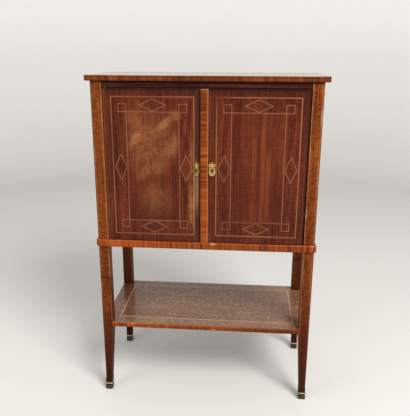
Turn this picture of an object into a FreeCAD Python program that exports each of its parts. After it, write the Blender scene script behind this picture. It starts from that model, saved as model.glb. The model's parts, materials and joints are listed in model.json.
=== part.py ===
import FreeCAD, Part
import math
import os

# An inlaid two-door cabinet on a tapered stand with a lower shelf.
# All lengths are in millimetres. X runs to the viewer's right, Y to the back, Z up.
# The origin is on the floor, under the middle of the cabinet.

Vector = FreeCAD.Vector

# Overall sizes
cabinet_height = 1200.0
carcase_width = 772.0
carcase_depth = 384.0

# Top board
top_thickness = 18.0
top_side_overhang = 18.0
top_front_overhang = 8.0
top_back_overhang = 8.0
top_corner_cant = 10.0
edge_strip_thickness = 3.0
edge_strip_rounding = 1.5

# Corner posts, which run down into the legs
post_side = 38.0
post_cant = 5.0
leg_toe_side = 22.0

# Levels above the floor
lower_shelf_height = 294.0
lower_shelf_thickness = 18.0
lower_shelf_recess = 1.0
belt_bottom_height = 600.0
belt_height = 26.0
belt_projection = 6.0
belt_rounding = 2.5
top_rail_height = 22.0

# Frame joinery
panel_recess = 2.0
tenon_length = 14.0
tenon_thickness = 8.0
tenon_shoulder = 3.0
joinery_gap = 0.1
side_panel_thickness = 12.0
back_panel_thickness = 8.0
back_panel_recess = 4.0
panel_tongue = 6.0
bottom_board_thickness = 14.0
glue_block_side = 11.0
glue_block_length = 60.0
dowel_radius = 4.0
dowel_length = 34.0

# Interior shelf
interior_shelf_height = 902.0
interior_shelf_thickness = 14.0
interior_shelf_gap = 1.0
shelf_pin_radius = 3.0
shelf_pin_socket = 8.0
shelf_pin_reach = 12.0
shelf_pin_inset = 60.0
shelf_seat_gap = 0.2

# Doors
door_thickness = 19.0
door_side_gap = 1.0
door_end_gap = 1.5
door_meeting_gap = 1.5
meeting_strip_width = 27.0
meeting_strip_offset = 3.0
meeting_strip_proud = 4.5
meeting_strip_rounding = 1.5
door_stop_gap = 0.5
door_stop_thickness = 10.0
door_stop_drop = 12.0
door_stop_end_gap = 18.0

# Inlay of light wood let into the doors and the lower shelf
inlay_depth = 1.0
inlay_gap = 0.05
outer_line_width = 4.0
inner_line_width = 2.5
inlay_hinge_margin = 30.0
inlay_meeting_offset = 38.0
inlay_top_margin = 27.0
inlay_bottom_margin = 25.0
inlay_band_width = 50.0
corner_square_side = 26.5
lozenge_length = 96.0
lozenge_outer_gap = 3.5
lozenge_inner_gap = 0.3
shelf_line_width = 3.0
shelf_line_side_inset = 56.0
shelf_line_front_inset = 50.0

# Sabots: a moulded brass cup on each leg
sabot_height = 46.0
sabot_side = 28.5
sabot_floor = 5.0
sabot_gap = 0.15
sabot_pin_height = 14.0
# Each pair is a share of the height and a share of the side, from the floor up
sabot_profile_shares = (
    (0.00, 0.92), (0.04, 1.00), (0.41, 1.00), (0.45, 0.96), (0.47, 0.91), (0.52, 0.91),
    (0.54, 0.99), (0.59, 1.03), (0.64, 0.99), (0.67, 0.94), (0.76, 0.94), (0.81, 1.00),
    (0.88, 1.06), (0.95, 1.06), (1.00, 1.00),
)

# Pivot hinges let into the ends of the doors
leaf_length = 44.0
leaf_width = 12.0
leaf_thickness = 2.5
leaf_gap = 0.1
pivot_pin_radius = 2.0
pivot_running_gap = 0.05
pivot_end_gap = 0.2
washer_radius = 4.6
washer_thickness = 1.2
washer_bore_gap = 0.2
leaf_screw_near = 14.0
leaf_screw_far = 28.0

# Escutcheons: an oval plate with a raised rim, under a ribbon bow and a round crest
keyhole_drop = 6.0
escutcheon_thickness = 1.6
escutcheon_drop = 5.0
escutcheon_half_width = 11.0
escutcheon_half_height = 15.0
escutcheon_rim_width = 2.2
escutcheon_rim_height = 2.8
bow_rise = 17.5
bow_half_spread = 5.4
bow_half_length = 7.2
bow_half_width = 4.6
bow_tilt_degrees = 42.0
bow_height = 2.4
bow_knot_radius = 2.8
bow_knot_height = 3.4
crest_radius = 3.2
crest_rise = 26.0
neck_width = 3.6
escutcheon_pin_radius = 0.8
escutcheon_pin_length = 6.0
keyhole_radius = 2.3
keyhole_slot_width = 2.0
keyhole_slot_drop = 7.0
right_key_offset = 24.0
left_key_offset = 30.5
blind_keyhole_depth = 4.0

# Lock in the right door
lock_length = 58.5
lock_height = 52.0
lock_depth = 12.0
lock_wall = 1.2
lock_flange = 6.0
lock_forend_thickness = 2.0
lock_forend_height = 64.0
lock_bolt_thickness = 7.0
lock_bolt_height = 14.0
lock_bolt_length = 50.0
lock_bolt_rise = 14.0
lock_bolt_gap = 0.2
lock_bolt_throw = 9.0
lock_stump_radius = 2.0
lock_stump_set_in = 26.0
talon_width = 8.0
talon_depth = 3.5
key_pin_radius = 1.5
key_pin_length = 14.0
strike_thickness = 1.5
strike_height = 40.0
strike_gap = 0.6
strike_pocket_depth = 10.0

# Slide bolts at the top and bottom of the left door
slide_bolt_set_in = 16.0
slide_bolt_width = 8.0
slide_bolt_thickness = 5.0
slide_bolt_length = 70.0
slide_bolt_travel = 12.0
slide_bolt_rest = 0.5
slide_bolt_gap = 0.2
slide_channel_length = 83.0
slide_plate_width = 18.0
slide_plate_length = 84.0
slide_plate_thickness = 1.6
slide_plate_end = 2.0
slide_screw_spread = 6.2
slide_knob_radius = 3.0
slide_knob_reach = 6.0
slide_knob_drop = 60.0
slide_knob_gap = 0.3
keeper_length = 27.0
keeper_width = 8.4
keeper_thickness = 1.2
keeper_gap = 0.5
keeper_screw_spread = 9.5

# Screws: head radius, shank radius and length of each kind
hinge_screw_head = 2.9
hinge_screw_shank = 1.4
hinge_screw_length = 14.0
small_screw_head = 2.0
small_screw_shank = 0.9
small_screw_length = 8.0
top_screw_head = 4.0
top_screw_shank = 2.0
top_screw_length = 32.0
top_screw_spread = 190.0
screw_gap = 0.05
pin_head_radius = 1.6
pin_shank_radius = 0.8
pin_head_height = 0.9
pin_length = 7.0

# A cut runs past the faces that it opens by this much
overrun = 1.0
# Two points closer than this are the same corner
coincidence = 0.001
# Sides of small pins and screws, of larger round pieces, and of the escutcheons' ovals
pin_sides = 8
round_sides = 12
oval_sides = 20

# Worked out from the sizes above
half_width = carcase_width / 2
half_depth = carcase_depth / 2
top_underside = cabinet_height - top_thickness
opening_bottom = belt_bottom_height + belt_height
opening_top = top_underside - top_rail_height
opening_half_width = half_width - post_side
post_inner_y = half_depth - post_side
taper_start = lower_shelf_height - lower_shelf_thickness
door_front_y = panel_recess - half_depth
door_back_y = door_front_y + door_thickness
rail_inner_depth = panel_recess + door_thickness + door_stop_gap
rail_inner_y = half_depth - rail_inner_depth
rail_inner_x = half_width - rail_inner_depth
door_bottom = opening_bottom + door_end_gap
door_top = opening_top - door_end_gap
door_middle = (door_bottom + door_top) / 2
door_hinge_x = opening_half_width - door_side_gap
strip_left_x = -meeting_strip_offset - meeting_strip_width / 2
strip_right_x = strip_left_x + meeting_strip_width
left_closing_u = door_meeting_gap - strip_left_x
pivot_x = door_hinge_x - door_thickness / 2
pivot_y = door_front_y + door_thickness / 2
keyhole_z = door_middle - keyhole_drop


def block(x0, x1, y0, y1, z0, z1):
    """An upright box between two corners."""
    return Part.makeBox(x1 - x0, y1 - y0, z1 - z0, Vector(x0, y0, z0))


def prism(points, z0, z1):
    """A flat outline of (x, y) points, carried up from one height to another."""
    corners = [Vector(x, y, z0) for x, y in points]
    face = Part.Face(Part.makePolygon(corners + corners[:1]))
    return face.extrude(Vector(0, 0, z1 - z0))


def front_prism(points, y0, y1):
    """A flat outline of (x, z) points, carried back from one depth to another."""
    corners = [Vector(x, y0, z) for x, z in points]
    face = Part.Face(Part.makePolygon(corners + corners[:1]))
    return face.extrude(Vector(0, y1 - y0, 0))


def turns(sides):
    """The directions of a regular outline's corners, in radians."""
    return [math.tau * i / sides for i in range(sides)]


def ring(radius, z, sides):
    """A regular outline about the Z axis, at a height."""
    return [Vector(radius * math.cos(turn), radius * math.sin(turn), z) for turn in turns(sides)]


def rod(radius, length, sides):
    """A many-sided rod along minus Z from the origin, with few faces for a piece that repeats."""
    return stacked([ring(radius, -length, sides), ring(radius, 0, sides)])


def stacked(levels):
    """A solid with flat faces through several outlines, each with as many points, one above another."""
    faces = [Part.Face(Part.makePolygon(end + end[:1])) for end in (levels[0], levels[-1])]
    for low, high in zip(levels, levels[1:]):
        for i in range(len(low)):
            j = (i + 1) % len(low)
            faces.append(Part.Face(Part.makePolygon([low[i], low[j], high[j], high[i], low[i]])))
    return Part.makeSolid(Part.makeShell(faces))


def inset_outline(points, distances):
    """The outline with each edge moved inwards by its distance, corners mitred; minus moves outwards."""
    lines = []
    for i, distance in enumerate(distances):
        ax, ay = points[i]
        bx, by = points[(i + 1) % len(points)]
        length = math.hypot(bx - ax, by - ay)
        nx = (ay - by) / length
        ny = (bx - ax) / length
        lines.append((nx, ny, nx * ax + ny * ay + distance))
    moved = []
    for i, (a2, b2, c2) in enumerate(lines):
        a1, b1, c1 = lines[i - 1]
        det = a1 * b2 - a2 * b1
        moved.append(((c1 * b2 - c2 * b1) / det, (a1 * c2 - a2 * c1) / det))
    return moved


def edge_strips(outer, inner, sides, z0, z1, rounding):
    """One mitred strip for each listed side of an outline, its outer long edges rounded."""
    strips = []
    for i in sides:
        j = (i + 1) % len(outer)
        strip = prism([outer[i], outer[j], inner[j], inner[i]], z0, z1)
        strips.append(round_long_edges(strip, outer[i], outer[j], rounding))
    return strips


def round_long_edges(strip, start, end, rounding):
    """The strip with its level edges between two corners of the outline rounded."""
    chosen = []
    for edge in strip.Edges:
        first, last = edge.Vertexes[0].Point, edge.Vertexes[-1].Point
        level = abs(first.z - last.z) < coincidence
        ends = [math.hypot(p.x - q[0], p.y - q[1]) for p in (first, last) for q in (start, end)]
        if level and sum(distance < coincidence for distance in ends) == 2:
            chosen.append(edge)
    return strip.makeFillet(rounding, chosen)


def mirrored_x(shape):
    """The same shape on the other side of the cabinet."""
    return shape.mirror(Vector(0, 0, 0), Vector(1, 0, 0))


def mirrored_z(shape):
    """A shape at the top of the doors, turned over to their bottom."""
    return shape.mirror(Vector(0, 0, door_middle), Vector(0, 0, 1))


def both_ends(shape):
    """A shape at the top of the doors and its twin at the bottom."""
    return [shape, mirrored_z(shape)]


def placed(shape, point, direction):
    """A shape made along minus Z from the origin, moved to a point and turned to a direction."""
    turned = shape.copy()
    turned.Placement = FreeCAD.Placement(point, FreeCAD.Rotation(Vector(0, 0, -1), direction))
    return turned


def countersunk_screw(head, shank, length, gap=0.0):
    """A countersunk screw along minus Z, its head's face at the origin; a gap makes its hole."""
    return stacked([
        ring(shank + gap, -length - gap, pin_sides),
        ring(shank + gap, shank - head, pin_sides),
        ring(head + gap, 0, pin_sides),
    ])


def headed_pin(gap=0.0):
    """A pin along minus Z whose head stands on the origin's plane, or with a gap its hole."""
    if gap:
        return rod(pin_shank_radius + gap, pin_length + gap, pin_sides)
    return stacked([
        ring(pin_shank_radius, -pin_length, pin_sides),
        ring(pin_shank_radius, 0, pin_sides),
        ring(pin_head_radius, 0, pin_sides),
        ring(pin_shank_radius, pin_head_height, pin_sides),
    ])


def screw_set(spots, direction, head, shank, length):
    """Screws at the spots, and the holes that they need."""
    screws = [placed(countersunk_screw(head, shank, length), spot, direction) for spot in spots]
    holes = [placed(countersunk_screw(head, shank, length, screw_gap), spot, direction) for spot in spots]
    return screws, holes


def save(name, shapes):
    """Writes one node: a solid, or a group of separate solids."""
    group = shapes if isinstance(shapes, list) else [shapes]
    solids = [solid for shape in group for solid in shape.Solids]
    print(name, len(solids), "solid(s)", round(sum(solid.Volume for solid in solids)), "mm3")
    node = solids[0] if len(solids) == 1 else Part.makeCompound(solids)
    node.exportStep("parts/" + name + ".step")


def outline_at(side, z, gap=0.0):
    """A right post's square section on the front, with its outer corner canted, at a height."""
    x0, x1 = half_width - side - gap, half_width + gap
    y0, y1 = -half_depth - gap, side - half_depth + gap
    return [
        Vector(x0, y0, z), Vector(x1 - post_cant, y0, z), Vector(x1, y0 + post_cant, z),
        Vector(x1, y1, z), Vector(x0, y1, z),
    ]


def square_at(side, z, gap=0.0):
    """A right post's plain square section at the back, at a height."""
    x0, x1 = half_width - side - gap, half_width + gap
    y0, y1 = half_depth - side - gap, half_depth + gap
    return [Vector(x0, y0, z), Vector(x1, y0, z), Vector(x1, y1, z), Vector(x0, y1, z)]


def leg_side(z):
    """How wide the tapered leg is at a height."""
    return leg_toe_side + (post_side - leg_toe_side) * (z - sabot_floor) / (taper_start - sabot_floor)


# Centre line of each leg at its sabot
sabot_x = half_width - leg_side(sabot_height / 2) / 2
sabot_y = half_depth - leg_side(sabot_height / 2) / 2


def tenon(x0, x1, y0, y1, z0, z1, gap=0.0):
    """A tenon's block or, with a gap, its mortise, which is deeper at the end."""
    return block(x0 - gap, x1 + gap, y0 - gap, y1 + gap, z0 - gap, z1 + gap)


def front_tenon(face_y, thickness, z0, z1, gap=0.0):
    """The right tenon of a front or back rail whose outer face is at a depth."""
    middle = face_y + math.copysign(thickness / 2, -face_y)
    return tenon(
        opening_half_width, opening_half_width + tenon_length,
        middle - tenon_thickness / 2, middle + tenon_thickness / 2,
        z0 + tenon_shoulder, z1 - tenon_shoulder, gap,
    )


def side_tenon(face_x, thickness, end_y, z0, z1, gap=0.0):
    """A tenon at one end of the right side's rail whose outer face is at a distance."""
    middle = face_x - thickness / 2
    reach = end_y + math.copysign(tenon_length, end_y)
    return tenon(
        middle - tenon_thickness / 2, middle + tenon_thickness / 2,
        min(end_y, reach), max(end_y, reach),
        z0 + tenon_shoulder, z1 - tenon_shoulder, gap,
    )


# Rails: outer face distance from the middle, thickness, bottom and top, at the top and bottom of the carcase
top_rail_face = half_depth - panel_recess
top_rail_side_face = half_width - panel_recess
top_rail_thickness = rail_inner_depth - panel_recess
rail_levels = {
    "top": (top_rail_face, top_rail_side_face, top_rail_thickness, opening_top, top_underside),
    "bottom": (half_depth, half_width, rail_inner_depth, belt_bottom_height, opening_bottom),
}


def long_rail(level, sign):
    """A rail across the front (sign -1) or the back (sign 1), with a tenon at each end."""
    face, _, thickness, z0, z1 = rail_levels[level]
    y0, y1 = sorted((sign * face, sign * (face - thickness)))
    rail = block(-opening_half_width, opening_half_width, y0, y1, z0, z1)
    end = front_tenon(sign * face, thickness, z0, z1)
    return rail.fuse([end, mirrored_x(end)]).removeSplitter()


def side_rail(level):
    """The right side's rail, with a tenon at each end."""
    _, face, thickness, z0, z1 = rail_levels[level]
    rail = block(face - thickness, face, -post_inner_y, post_inner_y, z0, z1)
    ends = [side_tenon(face, thickness, y, z0, z1) for y in (-post_inner_y, post_inner_y)]
    return rail.fuse(ends).removeSplitter()


def side_panel(gap=0.0):
    """The right side panel, whose long edges sit in the posts' grooves."""
    face = half_width - panel_recess
    reach = post_inner_y + panel_tongue
    return block(
        face - side_panel_thickness - gap, face + gap, -reach - gap, reach + gap, opening_bottom, opening_top
    )


def back_panel(gap=0.0):
    """The back panel, whose long edges sit in the back posts' grooves."""
    face = half_depth - back_panel_recess
    reach = opening_half_width + panel_tongue
    return block(
        -reach - gap, reach + gap, face - back_panel_thickness - gap, face + gap, opening_bottom, opening_top
    )


def shelf_dowel(sign, gap=0.0):
    """The dowel between the lower shelf and the right front (sign -1) or back leg."""
    start = Vector(
        opening_half_width - dowel_length / 2 - gap,
        sign * (half_depth - post_side / 2),
        lower_shelf_height - lower_shelf_thickness / 2,
    )
    return placed(rod(dowel_radius + gap, dowel_length + gap + gap, pin_sides), start, Vector(1, 0, 0))


def sabot_pin(sign, gap=0.0):
    """The pin through a right sabot's inner wall into the leg."""
    spot = Vector(sabot_x - sabot_side / 2, sign * sabot_y, sabot_pin_height)
    return placed(headed_pin(gap), spot, Vector(1, 0, 0))


def corner_post(sign):
    """The right post and leg at the front (sign -1) or back, with its mortises and grooves."""
    section = outline_at if sign < 0 else square_at
    post = stacked([
        section(leg_toe_side, sabot_floor),
        section(post_side, taper_start),
        section(post_side, top_underside),
    ])
    cuts = []
    for face, side_face, thickness, z0, z1 in rail_levels.values():
        cuts.append(front_tenon(sign * face, thickness, z0, z1, joinery_gap))
        cuts.append(side_tenon(side_face, thickness, sign * post_inner_y, z0, z1, joinery_gap))
    cuts.append(side_panel(joinery_gap))
    if sign > 0:
        cuts.append(back_panel(joinery_gap))
    cuts.append(shelf_dowel(sign, screw_gap))
    cuts.append(sabot_pin(sign, screw_gap))
    return post.cut(cuts)


def sabot(sign):
    """The right sabot at the front (sign -1) or back: stacked square mouldings round the leg's toe."""
    levels = []
    for height_share, side_share in sabot_profile_shares:
        half = sabot_side * side_share / 2
        z = sabot_height * height_share
        corners = ((-half, -half), (half, -half), (half, half), (-half, half))
        levels.append([Vector(sabot_x + dx, sign * sabot_y + dy, z) for dx, dy in corners])
    section = outline_at if sign < 0 else square_at
    rim = sabot_height + overrun
    leg = stacked([
        section(leg_toe_side, sabot_floor, sabot_gap),
        section(leg_side(rim), rim, sabot_gap),
    ])
    return stacked(levels).cut([leg, sabot_pin(sign, screw_gap)])


def top_outline():
    """The top's outline, with its front corners canted, from the left end of the front."""
    x = half_width + top_side_overhang
    y0 = -half_depth - top_front_overhang
    y1 = half_depth + top_back_overhang
    cant = top_corner_cant
    return [(cant - x, y0), (x - cant, y0), (x, y0 + cant), (x, y1), (-x, y1), (-x, y0 + cant)]


def carcase_outline():
    """The outline over the posts, with the front corners canted, from the left end of the front."""
    x, y, cant = half_width, half_depth, post_cant
    return [(cant - x, -y), (x - cant, -y), (x, cant - y), (x, y), (-x, y), (-x, cant - y)]


# The sides of those outlines that carry a strip: front, right cant, right, left and left cant
strip_sides = (0, 1, 2, 4, 5)
side_shares = (1.0, 1.0, 1.0, 0.0, 1.0, 1.0)


def shelf_lines():
    """Four strips of light wood let into the lower shelf's top, and the grooves for them."""
    x = half_width - shelf_line_side_inset
    y = half_depth - shelf_line_front_inset
    w = shelf_line_width / 2
    runs = [(-x - w, x + w, s * y - w, s * y + w) for s in (-1, 1)]
    runs += [(s * x - w, s * x + w, w - y, y - w) for s in (-1, 1)]
    z0, z1, g = lower_shelf_height - inlay_depth, lower_shelf_height, inlay_gap
    strips = [block(*run, z0, z1) for run in runs]
    grooves = [block(x0 - g, x1 + g, y0 - g, y1 + g, z0, z1 + overrun) for x0, x1, y0, y1 in runs]
    return strips, grooves


def top_screws():
    """The screws up through the top rails into the top board, and their holes."""
    middle_y = rail_inner_y + top_rail_thickness / 2
    middle_x = rail_inner_x + top_rail_thickness / 2
    spots = [Vector(sx * top_screw_spread, sy * middle_y, opening_top) for sx in (-1, 1) for sy in (-1, 1)]
    spots += [Vector(s * middle_x, 0, opening_top) for s in (-1, 1)]
    return screw_set(spots, Vector(0, 0, 1), top_screw_head, top_screw_shank, top_screw_length)


def build_frame():
    """Posts, sabots, rails, panels and boards of the carcase and its stand."""
    for sign, place in ((-1, "front"), (1, "back")):
        post = corner_post(sign)
        foot = sabot(sign)
        save("corner_post_" + place + "_right", post)
        save("corner_post_" + place + "_left", mirrored_x(post))
        save("sabot_" + place + "_right", foot)
        save("sabot_" + place + "_left", mirrored_x(foot))
    pins = [sabot_pin(sign) for sign in (-1, 1)]
    save("sabot_pins", pins + [mirrored_x(pin) for pin in pins])

    screws, holes = top_screws()
    save("top_board_screws", screws)
    save("back_top_rail", long_rail("top", 1).cut(holes))
    right_rail = side_rail("top")
    save("right_top_rail", right_rail.cut(holes))
    save("left_top_rail", mirrored_x(right_rail).cut(holes))
    save("front_top_rail", long_rail("top", -1).cut(holes + keeper_cuts() + rail_leaf_cuts()))
    low_cuts = [mirrored_z(cut) for cut in keeper_cuts() + rail_leaf_cuts()]
    save("front_bottom_rail", long_rail("bottom", -1).cut(low_cuts))
    save("back_bottom_rail", long_rail("bottom", 1))
    low_rail = side_rail("bottom")
    save("right_bottom_rail", low_rail)
    save("left_bottom_rail", mirrored_x(low_rail))

    outer = top_outline()
    inner = inset_outline(outer, [edge_strip_thickness * share for share in side_shares])
    save("top_board", prism(inner, top_underside, cabinet_height).cut(holes))
    save("top_edge_strips", edge_strips(
        outer, inner, strip_sides, top_underside, cabinet_height, edge_strip_rounding
    ))

    faces = carcase_outline()
    belt = inset_outline(faces, [-belt_projection * share for share in side_shares])
    save("belt_moulding", edge_strips(
        belt, faces, strip_sides, belt_bottom_height, opening_bottom, belt_rounding
    ))


def build_panels():
    """Side panels, back panel, bottom board with its glue blocks, and the door stop."""
    socket_cuts = [shelf_pin(sign, screw_gap) for sign in (-1, 1)]
    panel = side_panel().cut(socket_cuts)
    save("right_side_panel", panel)
    save("left_side_panel", mirrored_x(panel))
    save("back_panel", back_panel())

    reach_x, reach_y = rail_inner_x, rail_inner_y
    corner_x, corner_y = opening_half_width, post_inner_y
    save("bottom_board", prism(
        notched_outline(reach_x, reach_y, corner_x, corner_y),
        opening_bottom - bottom_board_thickness, opening_bottom,
    ))
    save("glue_blocks", glue_blocks())

    stop_end = pivot_x - door_stop_end_gap
    stop_top = opening_top + top_rail_height / 2
    save("door_stop", block(
        -stop_end, stop_end, -rail_inner_y, door_stop_thickness - rail_inner_y,
        opening_top - door_stop_drop, stop_top,
    ))


def notched_outline(x, y, corner_x, corner_y):
    """A rectangle with a square notch at each corner for a post."""
    return [
        (-corner_x, -y), (corner_x, -y), (corner_x, -corner_y), (x, -corner_y),
        (x, corner_y), (corner_x, corner_y), (corner_x, y), (-corner_x, y),
        (-corner_x, corner_y), (-x, corner_y), (-x, -corner_y), (-corner_x, -corner_y),
    ]


def glue_blocks():
    """Three-cornered blocks glued between the bottom rails and the bottom board's underside."""
    under = opening_bottom - bottom_board_thickness
    corner = [(rail_inner_y, under), (rail_inner_y - glue_block_side, under),
              (rail_inner_y, under - glue_block_side)]
    length = Vector(glue_block_length, 0, 0)
    blocks = []
    for x in (-opening_half_width / 2, 0, opening_half_width / 2):
        start = x - glue_block_length / 2
        end = [Vector(start, y, z) for y, z in corner]
        back = Part.Face(Part.makePolygon(end + end[:1])).extrude(length)
        blocks += [back, back.mirror(Vector(0, 0, 0), Vector(0, 1, 0))]
    end = [
        Vector(rail_inner_x, -glue_block_length / 2, under),
        Vector(rail_inner_x - glue_block_side, -glue_block_length / 2, under),
        Vector(rail_inner_x, -glue_block_length / 2, under - glue_block_side),
    ]
    side = Part.Face(Part.makePolygon(end + end[:1])).extrude(Vector(0, glue_block_length, 0))
    return blocks + [side, mirrored_x(side)]


def shelf_pin(sign, gap=0.0):
    """A right-hand shelf pin at the front (sign -1) or back, or with a gap its socket."""
    inner_x = half_width - panel_recess - side_panel_thickness
    z = interior_shelf_height - interior_shelf_thickness - shelf_pin_radius - shelf_seat_gap
    start = Vector(inner_x - shelf_pin_reach, sign * (post_inner_y - shelf_pin_inset), z)
    length = shelf_pin_reach + shelf_pin_socket + gap
    return placed(rod(shelf_pin_radius + gap, length, pin_sides), start, Vector(1, 0, 0))


def build_shelves():
    """The interior shelf on its pins, and the lower shelf with its edge strips and string."""
    gap = interior_shelf_gap
    inner_x = half_width - panel_recess - side_panel_thickness - gap
    front_y = gap - post_inner_y
    back_y = half_depth - back_panel_recess - back_panel_thickness - gap
    notch_x = opening_half_width - gap
    notch_y = post_inner_y - gap
    save("interior_shelf", prism(
        [(-inner_x, front_y), (inner_x, front_y), (inner_x, notch_y), (notch_x, notch_y),
         (notch_x, back_y), (-notch_x, back_y), (-notch_x, notch_y), (-inner_x, notch_y)],
        interior_shelf_height - interior_shelf_thickness, interior_shelf_height,
    ))
    pins = [shelf_pin(sign) for sign in (-1, 1)]
    save("shelf_pins", pins + [mirrored_x(pin) for pin in pins])

    face_x = half_width - lower_shelf_recess
    face_y = half_depth - lower_shelf_recess
    core_x = face_x - edge_strip_thickness
    core_y = face_y - edge_strip_thickness
    dowels = [shelf_dowel(sign) for sign in (-1, 1)]
    holes = [shelf_dowel(sign, screw_gap) for sign in (-1, 1)]
    holes += [mirrored_x(hole) for hole in holes]
    strips, grooves = shelf_lines()
    board = prism(
        notched_outline(core_x, core_y, opening_half_width, post_inner_y), taper_start, lower_shelf_height
    )
    save("lower_shelf", board.cut(holes + grooves))
    save("lower_shelf_string_lines", strips)
    save("lower_shelf_dowels", dowels + [mirrored_x(dowel) for dowel in dowels])
    runs = [
        ((-opening_half_width, s * face_y), (opening_half_width, s * face_y), (0, -s * edge_strip_thickness))
        for s in (-1, 1)
    ]
    runs += [
        ((s * face_x, -post_inner_y), (s * face_x, post_inner_y), (-s * edge_strip_thickness, 0))
        for s in (-1, 1)
    ]
    edging = []
    for start, end, (dx, dy) in runs:
        outline = [start, end, (end[0] + dx, end[1] + dy), (start[0] + dx, start[1] + dy)]
        strip = prism(outline, taper_start, lower_shelf_height)
        edging.append(round_long_edges(strip, start, end, edge_strip_rounding))
    save("lower_shelf_edge_strips", edging)


def door_blank(closing_x):
    """A right-hand door board from its closing edge to its rounded pivot edge."""
    r = door_thickness / 2
    x0, x1, y0, y1 = closing_x, door_hinge_x, door_front_y, door_back_y
    bend = r * math.sqrt(2) / 2
    on_arc = Vector(pivot_x + bend, pivot_y - bend, door_bottom)
    corners = [
        Vector(x1 - r, y0, door_bottom), Vector(x1, y0 + r, door_bottom), Vector(x1, y1, door_bottom),
        Vector(x0, y1, door_bottom), Vector(x0, y0, door_bottom),
    ]
    edges = [Part.Arc(corners[0], on_arc, corners[1]).toShape()]
    for start, end in zip(corners[1:], corners[2:] + corners[:1]):
        edges.append(Part.LineSegment(start, end).toShape())
    face = Part.Face(Part.Wire(edges))
    return face.extrude(Vector(0, 0, door_top - door_bottom))


# The inlay's outer line: its middle, from the cabinet's middle and the floor
line_x0 = inlay_meeting_offset
line_x1 = door_hinge_x - inlay_hinge_margin
line_z0 = door_bottom + inlay_bottom_margin
line_z1 = door_top - inlay_top_margin


def line_runs():
    """Every straight strip of a right-hand door's lines, as (x0, x1, z0, z1)."""
    w = outer_line_width / 2
    runs = [(x - w, x + w, line_z0 - w, line_z1 + w) for x in (line_x0, line_x1)]
    runs += [(line_x0 + w, line_x1 - w, z - w, z + w) for z in (line_z0, line_z1)]
    w = inner_line_width / 2
    x_near, x_far = line_x0 + inlay_band_width, line_x1 - inlay_band_width
    z_low, z_high = line_z0 + inlay_band_width, line_z1 - inlay_band_width
    step = corner_square_side
    runs += [(x - w, x + w, z_low - step - w, z_high + step + w) for x in (x_near, x_far)]
    runs += [(x_near + w, x_far - w, z - w, z + w) for z in (z_low, z_high)]
    for x, sx in ((x_near, -1), (x_far, 1)):
        for z, sz in ((z_low, -1), (z_high, 1)):
            side_x, end_z = x + sx * step, z + sz * step
            inside = sorted((x + sx * w, side_x - sx * w))
            runs.append((*inside, z - w, z + w))
            runs.append((*inside, end_z - w, end_z + w))
            runs.append((side_x - w, side_x + w, *sorted((z - sz * w, end_z + sz * w))))
    return runs


def rhombus(x, z, half_x, half_z):
    """The corners of a lozenge about a point."""
    return [(x - half_x, z), (x, z - half_z), (x + half_x, z), (x, z + half_z)]


def lozenge_places():
    """Middle and half sizes of a right-hand door's four lozenges, which fill the band between its lines."""
    x, z = (line_x0 + line_x1) / 2, (line_z0 + line_z1) / 2
    near = outer_line_width / 2 + lozenge_outer_gap
    far = inlay_band_width - inner_line_width / 2 - lozenge_inner_gap
    long, short, away = lozenge_length / 2, (far - near) / 2, (far + near) / 2
    return [
        (x, line_z1 - away, long, short), (x, line_z0 + away, long, short),
        (line_x0 + away, z, short, long), (line_x1 - away, z, short, long),
    ]


def door_inlay():
    """A right-hand door's light lines, its lozenge veneers, and the recesses for them."""
    y0, y1 = door_front_y, door_front_y + inlay_depth
    lines = [block(x0, x1, y0, y1, z0, z1) for x0, x1, z0, z1 in line_runs()]
    g = inlay_gap
    recesses = [
        block(x0 - g, x1 + g, y0 - overrun, y1, z0 - g, z1 + g) for x0, x1, z0, z1 in line_runs()
    ]
    veneers = []
    for x, z, half_x, half_z in lozenge_places():
        shrink = inner_line_width * math.hypot(half_x, half_z)
        inner = rhombus(x, z, half_x - shrink / half_z, half_z - shrink / half_x)
        veneer = front_prism(inner, y0, y1)
        whole = front_prism(rhombus(x, z, half_x, half_z), y0, y1)
        veneers.append(veneer)
        lines.append(whole.cut(veneer))
        recesses.append(front_prism(rhombus(x, z, half_x + g, half_z + g), y0 - overrun, y1))
    return lines, veneers, recesses


def leaf_outline(z0, gap=0.0):
    """A right-hand pivot leaf's plate, round about the pivot, or with a gap its recess."""
    half = leaf_width / 2
    far_x = pivot_x + half - leaf_length
    plate = block(far_x - gap, pivot_x, pivot_y - half - gap, pivot_y + half + gap, z0, z0 + leaf_thickness)
    nose = rod(half + gap, leaf_thickness, round_sides)
    return plate.fuse(placed(nose, Vector(pivot_x, pivot_y, z0), Vector(0, 0, 1))).removeSplitter()


def leaf_screws(z, direction):
    """A leaf's two screws and their holes, from the leaf's face."""
    spots = [Vector(pivot_x - away, pivot_y, z) for away in (leaf_screw_near, leaf_screw_far)]
    return screw_set(spots, direction, hinge_screw_head, hinge_screw_shank, hinge_screw_length)


def rail_leaf():
    """The right leaf under the top rail with its pivot pin, and its washer."""
    _, holes = leaf_screws(opening_top, Vector(0, 0, 1))
    pin_end = door_top - leaf_thickness + pivot_end_gap
    pin = Part.makeCylinder(pivot_pin_radius, opening_top - pin_end, Vector(pivot_x, pivot_y, pin_end))
    leaf = leaf_outline(opening_top).cut(holes).fuse(pin)
    washer = rod(washer_radius, washer_thickness, round_sides)
    washer = washer.cut(rod(pivot_pin_radius + washer_bore_gap, washer_thickness, round_sides))
    return leaf, placed(washer, Vector(pivot_x, pivot_y, opening_top), Vector(0, 0, -1))


def door_leaf():
    """The right leaf in the top of the door, bored for the pivot pin."""
    _, holes = leaf_screws(door_top, Vector(0, 0, -1))
    z0 = door_top - leaf_thickness
    seat = Vector(pivot_x, pivot_y, z0)
    bore = Part.makeCylinder(pivot_pin_radius + pivot_running_gap, leaf_thickness, seat)
    return leaf_outline(z0).cut(holes + [bore])


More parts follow.
